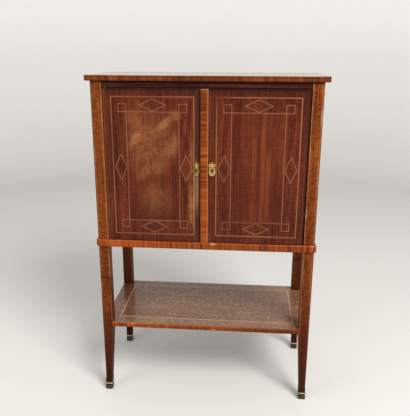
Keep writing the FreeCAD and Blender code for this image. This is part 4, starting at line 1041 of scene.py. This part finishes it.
def headed(points):
    """Where a screw's or pin's head is, which way it faces, the radius of its head and shank, its length.

    The long axis is the shaft's, and the head is at whichever end is wider."""
    low, high = span(points)
    axis = int(np.argmax(high - low))
    widths = [end_width(points, points[:, axis], level) for level in (low[axis], high[axis])]
    top = int(widths[1] > widths[0])
    place = (low + high) / 2
    place[axis] = (low, high)[top][axis]
    direction = np.zeros(3)
    direction[axis] = 1 if top else -1
    return place, direction, widths[top] / 2, widths[1 - top] / 2, (high - low)[axis]


def slotted_screw(head, shank, reach, slot):
    """A countersunk screw with a slot, its head's face on the origin's plane.

    The head is a grid of columns across the slot; each column reaches to the head's
    circle, and the columns inside the slot lie lower and stop where the cone is narrower.
    The rim of that grid then runs down a cone to the shank and its point."""
    half = head * slot
    depth = (head - shank) * 0.55
    side = head * np.sin(np.linspace(-math.pi / 2, math.pi / 2, 15))
    left = side[side < -half]
    x = np.concatenate([left, [-half], np.linspace(-half, half, 4), [half], -left[::-1]])[:, None]
    sunk = np.zeros(x.shape, bool)
    sunk[len(left) + 1:len(left) + 5] = True
    radius = np.where(sunk, head - depth, head)
    y = np.sqrt(np.maximum(radius ** 2 - x ** 2, 0)) * np.linspace(-1, 1, 7)
    z = np.where(sunk, -depth, -0.05 * head * (np.hypot(x, y) / head) ** 2)
    top = np.stack([np.broadcast_to(x, y.shape), y, z], axis=2)
    rim_points = np.concatenate([top[:, 0], top[::-1, -1]])
    round_rim = circle(np.arctan2(rim_points[:, 1], rim_points[:, 0]))
    levels = ((shank, shank - head), (shank * 0.92, -reach * 0.8), (shank * 0.2, -reach))
    rings = [rim_points] + [raised(round_rim * width, level) for width, level in levels]
    return joined((top.reshape(-1, 3), grid_faces(*top.shape[:2])), loft(rings, first=False))


def screws(node, finish="brass"):
    """All the screws of a CAD node, each where its solid is, with its slot turned its own way."""
    shapes = []
    for index, points in enumerate(solids_of(node)):
        place, direction, head, shank, reach = headed(points)
        shape = slotted_screw(head, shank, reach, panel_sizes().slot_share / 2)
        shapes.append(facing(shape, place, direction, 0.4 + 1.13 * index))
    new_piece(f"slotted_{node}", node, joined(*shapes), finish)


def rounded_square(half, corner, steps=6):
    """A square outline with round corners: quarter circles about four inner points."""
    x, y = (circle(np.linspace(0, math.pi / 2, steps)) * corner + (half - corner)).T
    return np.concatenate([np.stack(pair, 1) for pair in ((x, y), (-y, x), (-x, -y), (y, -x))])


# A sabot's outline: share of its height, reach outwards, reach inwards and corner radius in millimetres
SABOT_STATIONS = (
    (0.000, 11.9, 11.9, 0.8), (0.012, 12.6, 12.6, 1.2), (0.035, 13.0, 13.0, 1.5), (0.070, 13.2, 13.2, 1.6),
    (0.375, 13.2, 13.2, 1.6), (0.400, 13.0, 13.0, 1.5), (0.420, 12.5, 12.5, 1.4), (0.445, 12.3, 12.3, 1.3),
    (0.490, 12.3, 12.4, 1.3), (0.510, 12.7, 12.9, 1.5), (0.530, 13.2, 13.5, 1.8), (0.560, 13.5, 14.0, 2.0),
    (0.595, 13.5, 14.1, 2.0), (0.620, 13.1, 13.8, 1.8), (0.640, 12.6, 13.3, 1.5), (0.665, 12.3, 13.0, 1.3),
    (0.800, 12.2, 13.3, 1.2), (0.920, 12.2, 13.6, 1.2), (0.945, 12.4, 14.0, 1.4), (0.975, 12.4, 14.1, 1.4),
    (0.992, 12.2, 13.9, 1.2), (1.000, 12.0, 13.7, 1.0), (1.000, 11.7, 13.1, 0.6), (0.600, 11.7, 12.1, 0.6),
    (0.110, 11.7, 10.8, 0.6),
)


def sabot_shape(node):
    """A moulded square cup: base block, groove, ring and a thin collar that follows the leg.

    Rounded squares are stacked from the floor up the outside, over the rim and down the
    inside to the floor of the cup, so the shape is closed. Each reaches its own distance
    outwards and inwards from the foot's middle, because only a leg's inner faces taper."""
    low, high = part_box(node)
    foot = np.array([(low.x + high.x) / 2, (low.y + high.y) / 2])
    rings = []
    for share, out, back, corner in SABOT_STATIONS:
        ring = rounded_square((out + back) / 2 * MM, corner * MM)
        ring = ring + foot + np.sign(foot) * (out - back) / 2 * MM
        rings.append(raised(ring, low.z + (high.z - low.z) * share))
    return loft(rings)


def oval_reach(angle, rise, half_x, half_z):
    """How far an oval's edge is, in each direction, from a point that far above its middle."""
    a = (np.cos(angle) / half_x) ** 2 + (np.sin(angle) / half_z) ** 2
    b = rise * np.sin(angle) / half_z ** 2
    c = (rise / half_z) ** 2 - 1
    return (-b + np.sqrt(b * b - a * c)) / a


def keyhole_reach(angle, radius, slot, drop):
    """How far a keyhole's edge is from its round hole's middle: the hole, or the slot below it."""
    across = slot / np.maximum(np.abs(np.cos(angle)), 1e-6)
    down = drop / np.maximum(-np.sin(angle), 1e-6)
    return np.maximum(radius, np.where(np.sin(angle) < 0, np.minimum(across, down), 0))


def cast_oval(middle, half, rim, field, high, hole=None, sides=72, tilt=0.0):
    """A cast oval: a rounded rim round a hollowed field, about a keyhole or closed at its middle.

    Polar stations run from the back edge over the rim and across the field; the height is
    a half circle over the rim's width and a shallow dish inside it. Heights stand out
    from the door's face, which is zero."""
    angle = np.linspace(0, 2 * math.pi, sides, endpoint=False)
    rise = 0.0
    if hole:
        radius, slot, drop, rise = hole
        meets = [math.atan2(-z, side * slot)
                 for side in (-1, 1) for z in (drop, math.sqrt(radius ** 2 - slot ** 2))]
        angle = np.unique(np.mod(np.concatenate([angle, meets]), 2 * math.pi))
    edge = oval_reach(angle, rise, *half)
    near = keyhole_reach(angle, radius, slot, drop) if hole else np.zeros(len(angle))
    inner = edge - rim
    over = np.linspace(0, math.pi, 9)
    steps = np.array([0.25, 0.5, 0.75, 0.93])
    stations = [edge, *(edge - (1 - np.cos(over))[:, None] / 2 * rim),
                *(inner + (near - inner) * steps[:, None]), near]
    heights = [0, field * 0.6, *(field + (high - field) * np.sin(over[1:]) ** 0.8),
               *(field * (1 - 0.28 * np.sin(math.pi * steps))), field * (0.7 if hole else 0.95)]
    if hole:
        stations.append(near)
        heights.append(0)
    x, z = stations * np.cos(angle), stations * np.sin(angle) + rise
    lean = math.radians(tilt)
    across = middle[0] + x * math.cos(lean) - z * math.sin(lean)
    up = middle[1] + x * math.sin(lean) + z * math.cos(lean)
    depth = np.broadcast_to(-np.array(heights)[:, None], x.shape)
    points, faces = loft(np.stack([across, depth, up], axis=2), first=False, last=False, along=bool(hole))
    return points, faces + ([] if hole else [list(range(len(angle)))])


def on_face(shape, place, base=0.0):
    """A turned shape stood on the door's face, or on a base, with its axis pointing forward."""
    x, y, z = shape[0].T
    return np.stack([x + place[0], -z - base, y + place[1]], axis=1), shape[1]


def beads(middle, half, radius, count, base):
    """Small domes round an oval, at places that are even along its length.

    The length is added up over a fine run of angles and read back at even steps."""
    fine = np.linspace(0, 2 * math.pi, 721)
    steps = np.linalg.norm(np.diff(circle(fine) * half, axis=0), axis=1)
    run = np.concatenate([[0], np.cumsum(steps)])
    angles = np.interp(np.linspace(0, run[-1], count, endpoint=False), run, fine)
    outline = np.array([(1, 0), (0.92, 0.45), (0.6, 0.84), (0.22, 1), (0, 1.02)])
    dome = turned(outline * radius, 8)
    return joined(*(on_face(dome, place, base) for place in middle + circle(angles) * half))


def ribbon(path, widths, heights, sides=10):
    """A raised ribbon: a half-round section, wider than high, carried along a path on the door.

    The section is a flattened circle whose width and height follow the run; the ends
    close to a point."""
    path = np.asarray(path, float)
    fine = np.linspace(0, len(path) - 1, 40)
    smooth = spline(path, fine)
    width, height = (
        np.interp(fine, np.linspace(0, len(path) - 1, len(run)), run) for run in (widths, heights))
    lead = np.gradient(smooth, axis=0)
    lead /= np.linalg.norm(lead, axis=1, keepdims=True)
    side = np.stack([-lead[:, 1], lead[:, 0]], axis=1)
    across, up = circle(np.linspace(0, 2 * math.pi, sides, endpoint=False)).T
    flat = smooth[:, None] + (across * width[:, None] / 2)[:, :, None] * side[:, None]
    return loft(np.stack([flat[:, :, 0], -(up * 0.5 + 0.5) * height[:, None], flat[:, :, 1]], axis=2))


def spline(path, at):
    """A smooth line through points, by the usual cubic of four neighbours, read at run positions."""
    knots = np.concatenate([[2 * path[0] - path[1]], path, [2 * path[-1] - path[-2]]])
    index = np.minimum(at.astype(int), len(path) - 2)
    t = (at - index)[:, None]
    a, b, c, d = (knots[index + step] for step in range(4))
    return 0.5 * (2 * b + (c - a) * t + (2 * a - 5 * b + 4 * c - d) * t ** 2
                  + (3 * b - a - 3 * c + d) * t ** 3)


def escutcheon(node):
    """A cast escutcheon: beaded oval round a keyhole, with a ribbon bow, its tails and a crest.

    All of it stands on a thin tall oval ground with a keyhole of its own, a little wider.
    It is made in millimetres about the middle of the keyhole's round part."""
    middle = np.array((0, -5))
    parts = [
        cast_oval(middle, (11, 15), 3.0, 1.6, 2.1, (2.3, 1.0, 7, 5)),
        cast_oval((0, 3), (10.8, 20), 1.6, 1.0, 1.5, (2.6, 1.3, 7.3, -3)),
        beads(middle, (9.4, 13.4), panel_sizes().bead_radius / MM, panel_sizes().bead_count, 1.7),
    ]
    for s in (-1, 1):
        loop = cast_oval((s * 5.3, 17.5), (6.8, 5.3), 2.1, 1.7, 3.1, sides=40, tilt=s * 42)
        tail = ribbon([(s * 1.6, 14.9), (s * 5.6, 12.3), (s * 8.6, 10.9), (s * 10.6, 7.1)],
                      [1.6, 2.4, 2.2, 0.5], [2.0, 1.5, 1.5, 0.6])
        fold = ribbon([(s * 2.0, 14.7), (s * 5.2, 18.1), (s * 8.4, 20.7)],
                      [0.9, 1.0, 0.4], [2.6, 2.1, 1.4], 8)
        parts += [loop, tail, fold]
    knot = [(2.8, 0), (2.7, 1.6), (2.3, 2.6), (1.4, 3.3), (0, 3.4)]
    stud = [(1.3, 1.0), (1.2, 1.9), (0.7, 2.4), (0, 2.5)]
    parts += [
        on_face(turned(knot, 20), (0, 14.9)),
        cast_oval((0, 26), (3.2, 3.2), 1.1, 1.2, 2.2, sides=32),
        on_face(turned(stud, 14), (0, 26)),
        ribbon([(0, 8.5), (0, 14), (0, 19.5), (0, 25.5)], [4.2, 3.2, 2.6, 2.4], [1.6, 1.4, 1.2, 1.4]),
    ]
    points, faces = joined(*parts)
    place = (middle_of(node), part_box("right_door_board")[0].y, KEYHOLE)
    new_piece(f"cast_{node}", node, (points * MM + place, faces), "gilt", sharp=50.0)


def eased_bar(low, high, ease, steps=4):
    """An upright bar with every edge rounded: rounded oblongs stacked, drawn in at both ends."""
    low, high = np.array(low), np.array(high)
    middle, half = (low + high)[:2] / 2, (high - low)[:2] / 2
    arc = circle(np.linspace(0, math.pi / 2, steps))
    turns = (arc, arc[:, ::-1] * (-1, 1), -arc, arc[:, ::-1] * (1, -1))
    corners = ((1, 1), (-1, 1), (-1, -1), (1, -1))
    draws, rises = ease * np.array(quarter_turn(steps))
    levels = [*zip(draws, low[2] + rises), *zip(draws[::-1], high[2] - rises[::-1])]
    return loft([raised(np.concatenate([
        middle + corner * (half - ease) + arc_points * (ease - draw)
        for corner, arc_points in zip(corners, turns)]), level) for draw, level in levels])


class CabinetStep:
    """What every step shares: it works at once and raises if it fails."""

    bl_options = {"REGISTER", "UNDO"}

    def execute(self, context):
        self.make()
        return {"FINISHED"}


class CABINET_OT_posts(CabinetStep, bpy.types.Operator):
    """Ease and polish the four corner posts with their tapered legs"""

    bl_idname = "cabinet.posts"
    bl_label = "Corner Posts"

    def make(self):
        for node in frame["nodes"]:
            if node.startswith("corner_post"):
                eased(node, "post", "mahogany", "post edge")


class CABINET_OT_rails(CabinetStep, bpy.types.Operator):
    """Polish the rails at the top and bottom of the carcase, with the door stop"""

    bl_idname = "cabinet.rails"
    bl_label = "Rails"

    def make(self):
        eased("front_top_rail", "rail", "mahogany")
        dress("long rail", "back_top_rail", "front_bottom_rail", "back_bottom_rail", "door_stop")
        dress("cross rail", "left_top_rail", "right_top_rail", "left_bottom_rail", "right_bottom_rail")


class CABINET_OT_panels(CabinetStep, bpy.types.Operator):
    """Finish the side panels, the back, the bottom and its glue blocks"""

    bl_idname = "cabinet.panels"
    bl_label = "Panels and Bottom"

    def make(self):
        dress("side", "left_side_panel", "right_side_panel")
        dress("upright inner", "back_panel")
        dress("level inner", "bottom_board", "glue_blocks", "lower_shelf_dowels")


class CABINET_OT_top(CabinetStep, bpy.types.Operator):
    """Polish the top board and wrap its cross-banded edge round it"""

    bl_idname = "cabinet.top"
    bl_label = "Top and Its Edge"

    def make(self):
        dress("top", "top_board")
        low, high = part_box("top_edge_strips")
        profile = edging_profile(-STRIP_DEPTH, 0.0, "top_edge_strips", panel_sizes().strip_rounding)
        shape = wrapped(high.x, low.y, high.y, TOP_CORNER, profile)
        new_piece("banded_top_edge", "top_edge_strips", shape, "top edge")


class CABINET_OT_belt(CabinetStep, bpy.types.Operator):
    """Run the cross-banded belt moulding round the front and sides"""

    bl_idname = "cabinet.belt"
    bl_label = "Belt Moulding"

    def make(self):
        low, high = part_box("belt_moulding")
        profile = edging_profile(0.0, BELT_REACH, "belt_moulding", panel_sizes().belt_rounding, 7)
        shape = wrapped(high.x - BELT_REACH, low.y + BELT_REACH, high.y, POST_CORNER, profile)
        new_piece("banded_belt", "belt_moulding", shape, "belt")


class CABINET_OT_shelves(CabinetStep, bpy.types.Operator):
    """Finish the lower shelf, its banded edges and string, and the shelf inside"""

    bl_idname = "cabinet.shelves"
    bl_label = "Shelves"

    def make(self):
        dress("shelf", "lower_shelf")
        dress("shelf string", "lower_shelf_string_lines")
        dress("inside", "interior_shelf")
        low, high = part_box("lower_shelf_edge_strips")
        post_low, post_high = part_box("corner_post_front_right")
        x, y = post_low.x, -post_high.y
        profile = edging_profile(-STRIP_DEPTH, 0.0, "lower_shelf_edge_strips", panel_sizes().strip_rounding)
        runs = (((-x, low.y), (x, low.y)), ((x, high.y), (-x, high.y)),
                ((high.x, -y), (high.x, y)), ((low.x, y), (low.x, -y)))
        new_piece("banded_shelf_edges", "lower_shelf_edge_strips",
                  joined(*(mitred(run, profile) for run in runs)), "shelf edge")
        pins = []
        for points in solids_of("shelf_pins"):
            place, direction, radius, _, reach = headed(points)
            centre = place - direction * reach / 2
            inward = np.array([-math.copysign(1, centre[0]), 0, 0])
            nose = [(radius, -reach), (radius, -0.6 * MM), (radius * 0.85, -0.15 * MM),
                    (radius * 0.5, 0), (0, 0)]
            pins.append(facing(turned(nose, 20), centre + inward * reach / 2, inward))
        new_piece("turned_shelf_pins", "shelf_pins", joined(*pins))


class CABINET_OT_doors(CabinetStep, bpy.types.Operator):
    """Ease and polish both doors, their inlaid lines and lozenges, and the meeting strip"""

    bl_idname = "cabinet.doors"
    bl_label = "Doors and Inlay"

    def make(self):
        for side in ("left", "right"):
            eased(f"{side}_door_board", f"{side} door", "mahogany", "door edge")
            dress(f"{side} lines", f"{side}_door_inlay_lines")
            dress("lozenge", f"{side}_door_lozenges")
        low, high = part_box("meeting_strip")
        rounding = panel_sizes().strip_rounding
        far, up = quarter_turn(6) * np.array(rounding)
        depth = low.y + rounding - up
        outline = np.concatenate([
            [(low.x, high.y)], np.stack([low.x + far, depth], axis=1),
            np.stack([high.x - far, depth], axis=1)[::-1], [(high.x, high.y)]])
        rings = [raised(outline, level) for level in np.linspace(low.z, high.z, 3)]
        new_piece("banded_meeting_strip", "meeting_strip", loft(rings), "meeting strip")


class CABINET_OT_escutcheons(CabinetStep, bpy.types.Operator):
    """Cast the two beaded escutcheons with their ribbon bows"""

    bl_idname = "cabinet.escutcheons"
    bl_label = "Escutcheons"

    def make(self):
        escutcheon("left_escutcheon")
        escutcheon("right_escutcheon")


class CABINET_OT_sabots(CabinetStep, bpy.types.Operator):
    """Cast the four sabots and drive their pins"""

    bl_idname = "cabinet.sabots"
    bl_label = "Sabots"

    def make(self):
        for end in ("front", "back"):
            for side in ("left", "right"):
                node = f"sabot_{end}_{side}"
                new_piece(f"cast_{node}", node, sabot_shape(node), "sabot", sharp=40.0)
        pins = []
        rise = 0.9 * MM
        for points in solids_of("sabot_pins"):
            low, high = span(points)
            inner = -math.copysign(1, low[0])
            middle = (low + high) / 2
            reach = high[0] - low[0]
            radius = np.ptp(points[:, 1]) / 2
            dome = [(0.8 * MM, -reach), (0.8 * MM, -rise), (radius, -rise), (radius * 0.95, -rise * 0.55),
                    (radius * 0.7, -rise * 0.2), (radius * 0.35, 0), (0, 0)]
            head = high[0] if inner > 0 else low[0]
            pins.append(facing(turned(dome, 14), (head, middle[1], middle[2]), (inner, 0, 0)))
        new_piece("domed_sabot_pins", "sabot_pins", joined(*pins), "sabot")


class CABINET_OT_hinges(CabinetStep, bpy.types.Operator):
    """Ease and colour the pivot leaves and washers, and cut the slots of their screws"""

    bl_idname = "cabinet.hinges"
    bl_label = "Pivot Hinges"

    def make(self):
        holders = ("carcase", "left_door", "right_door")
        for holder in holders:
            eased(f"{holder}_pivot_leaves")
        rings = []
        ease = 0.2 * MM
        for points in solids_of("pivot_washers"):
            low, high = span(points)
            centre = (low + high) / 2
            outer, thick = (high[0] - low[0]) / 2, high[2] - low[2]
            inner = np.linalg.norm(points[:, :2] - centre[:2], axis=1).min()
            section = [(inner, 0), (inner, thick), (outer - ease, thick), (outer, thick - ease),
                       (outer, ease), (outer - ease, 0), (inner, 0)]
            corners, faces = turned(section, 32, closed=False)
            rings.append((corners + (centre[0], centre[1], low[2]), faces))
        new_piece("turned_pivot_washers", "pivot_washers", joined(*rings))
        for holder in holders:
            screws(f"{holder}_pivot_screws")


class CABINET_OT_lock(CabinetStep, bpy.types.Operator):
    """Ease and colour the lock, its bolt and the strike plate"""

    bl_idname = "cabinet.lock"
    bl_label = "Lock"

    def make(self):
        for node in ("lock_case", "lock_bolt", "strike_plate"):
            eased(node)
        eased("lock_back_plate", "lock plate")
        screws("lock_screws")
        screws("left_door_fitting_screws")


class CABINET_OT_slide_bolts(CabinetStep, bpy.types.Operator):
    """Finish the left door's slide bolts with turned knobs, their plates and keepers"""

    bl_idname = "cabinet.slide_bolts"
    bl_label = "Slide Bolts"

    def make(self):
        eased("slide_bolt_plates")
        eased("bolt_keepers")
        screws("keeper_screws")
        for node in ("top_slide_bolt", "bottom_slide_bolt"):
            points = solids_of(node)[0]
            low, high = span(points)
            bar_low, bar_high = span(points[points[:, 1] < low[1] + 0.1 * MM])
            back = low[1] + BOLT_BAR
            knob_low, knob_high = span(points[points[:, 1] > back + 0.5 * MM])
            centre = (knob_low + knob_high) / 2
            reach = high[1] - back
            radius = (knob_high[0] - knob_low[0]) / 2
            shaft = radius * 0.72
            section = [(shaft, -0.5 * MM), (shaft, reach * 0.42), (radius * 0.8, reach * 0.5),
                       (radius, reach * 0.62), (radius, reach * 0.82), (radius * 0.84, reach * 0.94),
                       (radius * 0.5, reach), (0, reach)]
            grip = facing(turned(section, 28), (centre[0], back, centre[2]), (0, 1, 0))
            bar_high[1] = back
            new_piece(f"turned_{node}", node, joined(eased_bar(bar_low, bar_high, 0.5 * MM), grip))


class CABINET_OT_top_screws(CabinetStep, bpy.types.Operator):
    """Cut the slots of the steel screws that hold the top"""

    bl_idname = "cabinet.top_screws"
    bl_label = "Top Screws"

    def make(self):
        screws("top_board_screws", "steel")


class CABINET_OT_stage(CabinetStep, bpy.types.Operator):
    """Set the pale floor and backdrop, the soft lamps and the camera"""

    bl_idname = "cabinet.stage"
    bl_label = "Floor, Lamps and Camera"

    def make(self):
        scene = bpy.context.scene
        stage = scene.cabinet_stage
        make_backdrop(stage)
        world = bpy.data.worlds.new("plain_sky")
        world.use_nodes = True
        sky = world.node_tree.nodes["Background"]
        sky.inputs["Color"].default_value = (1.0, 0.985, 0.96, 1.0)
        sky.inputs["Strength"].default_value = stage.sky_strength
        scene.world = world
        add_lamp("main_lamp", (2.3, -3.3, 4.2), 2.1, stage.key_power, (1.0, 0.97, 0.93))
        add_lamp("second_lamp", (-2.4, -2.4, 1.7), 1.8, stage.fill_power, (1.0, 0.98, 0.95))
        scene.camera = add_camera(stage)
        scene.view_settings.view_transform = "Standard"


def make_backdrop(stage):
    """A round floor that curves up into a wall: a profile of radius and height carried round.

    The curve is a quarter circle that starts where the floor ends."""
    bend = 1.2
    angle = np.linspace(0, math.pi / 2, 14)[1:]
    curve = circle(angle - math.pi / 2) * bend + (stage.floor_radius, bend)
    flat = raised(np.linspace(0, stage.floor_radius, 8), 0.0)
    wall = [(stage.floor_radius + bend, stage.backdrop_height)]
    shape = turned(np.concatenate([flat, curve, wall]), 96, closed=False)
    smooth_object("backdrop", shape, ["floor"], outwards=False)


def placed(name, data):
    """An object of a lamp's or camera's data, in the scene."""
    item = bpy.data.objects.new(name, data)
    bpy.context.scene.collection.objects.link(item)
    return item


def add_lamp(name, place, size, power, tint):
    """A square soft lamp that points at the middle of the cabinet."""
    lamp = bpy.data.lights.new(name, "AREA")
    lamp.size = size
    lamp.energy = power
    lamp.color = tint
    holder = placed(name, lamp)
    holder.location = place
    aim = Vector((0, 0, 0.65)) - Vector(place)
    holder.rotation_euler = aim.to_track_quat("-Z", "Y").to_euler()


def add_camera(stage):
    """The camera, placed from its turn, drop and roll."""
    data = bpy.data.cameras.new("camera")
    data.lens = stage.camera_lens
    data.sensor_width = 36.0
    camera = placed("camera", data)
    camera.matrix_world = (
        Matrix.Translation(stage.camera_place) @ Matrix.Rotation(stage.camera_turn, 4, "Z")
        @ Matrix.Rotation(math.pi / 2 - stage.camera_drop, 4, "X")
        @ Matrix.Rotation(stage.camera_roll, 4, "Z"))
    return camera


STEPS = (
    CABINET_OT_posts, CABINET_OT_rails, CABINET_OT_panels, CABINET_OT_top, CABINET_OT_belt,
    CABINET_OT_shelves, CABINET_OT_doors, CABINET_OT_escutcheons, CABINET_OT_sabots,
    CABINET_OT_hinges, CABINET_OT_lock, CABINET_OT_slide_bolts, CABINET_OT_top_screws,
    CABINET_OT_stage,
)
SETTINGS = (
    ("cabinet_colours", CabinetColours), ("cabinet_sizes", CabinetSizes), ("cabinet_stage", CabinetStage),
)


class CABINET_PT_sidebar(bpy.types.Panel):
    """The cabinet's settings and steps"""

    bl_label = "Cabinet"
    bl_idname = "CABINET_PT_sidebar"
    bl_space_type = "VIEW_3D"
    bl_region_type = "UI"
    bl_category = "Cabinet"

    def draw(self, context):
        for name, group in SETTINGS:
            box = self.layout.box()
            box.label(text=group.__doc__)
            for key in group.__annotations__:
                box.prop(getattr(context.scene, name), key)
        for step in STEPS:
            self.layout.operator(step.bl_idname)


def register():
    """Adds the settings, the steps and the panel."""
    for name, group in SETTINGS:
        bpy.utils.register_class(group)
        setattr(bpy.types.Scene, name, bpy.props.PointerProperty(type=group))
    for step in (*STEPS, CABINET_PT_sidebar):
        bpy.utils.register_class(step)


def unregister():
    """Takes the panel, the steps and the settings away again."""
    for step in (CABINET_PT_sidebar, *reversed(STEPS)):
        bpy.utils.unregister_class(step)
    for name, group in reversed(SETTINGS):
        delattr(bpy.types.Scene, name)
        bpy.utils.unregister_class(group)


def main():
    """Makes the whole cabinet in order."""
    register()
    for step in STEPS:
        group, action = step.bl_idname.split(".")
        getattr(getattr(bpy.ops, group), action)()


if __name__ == "__main__":
    main()
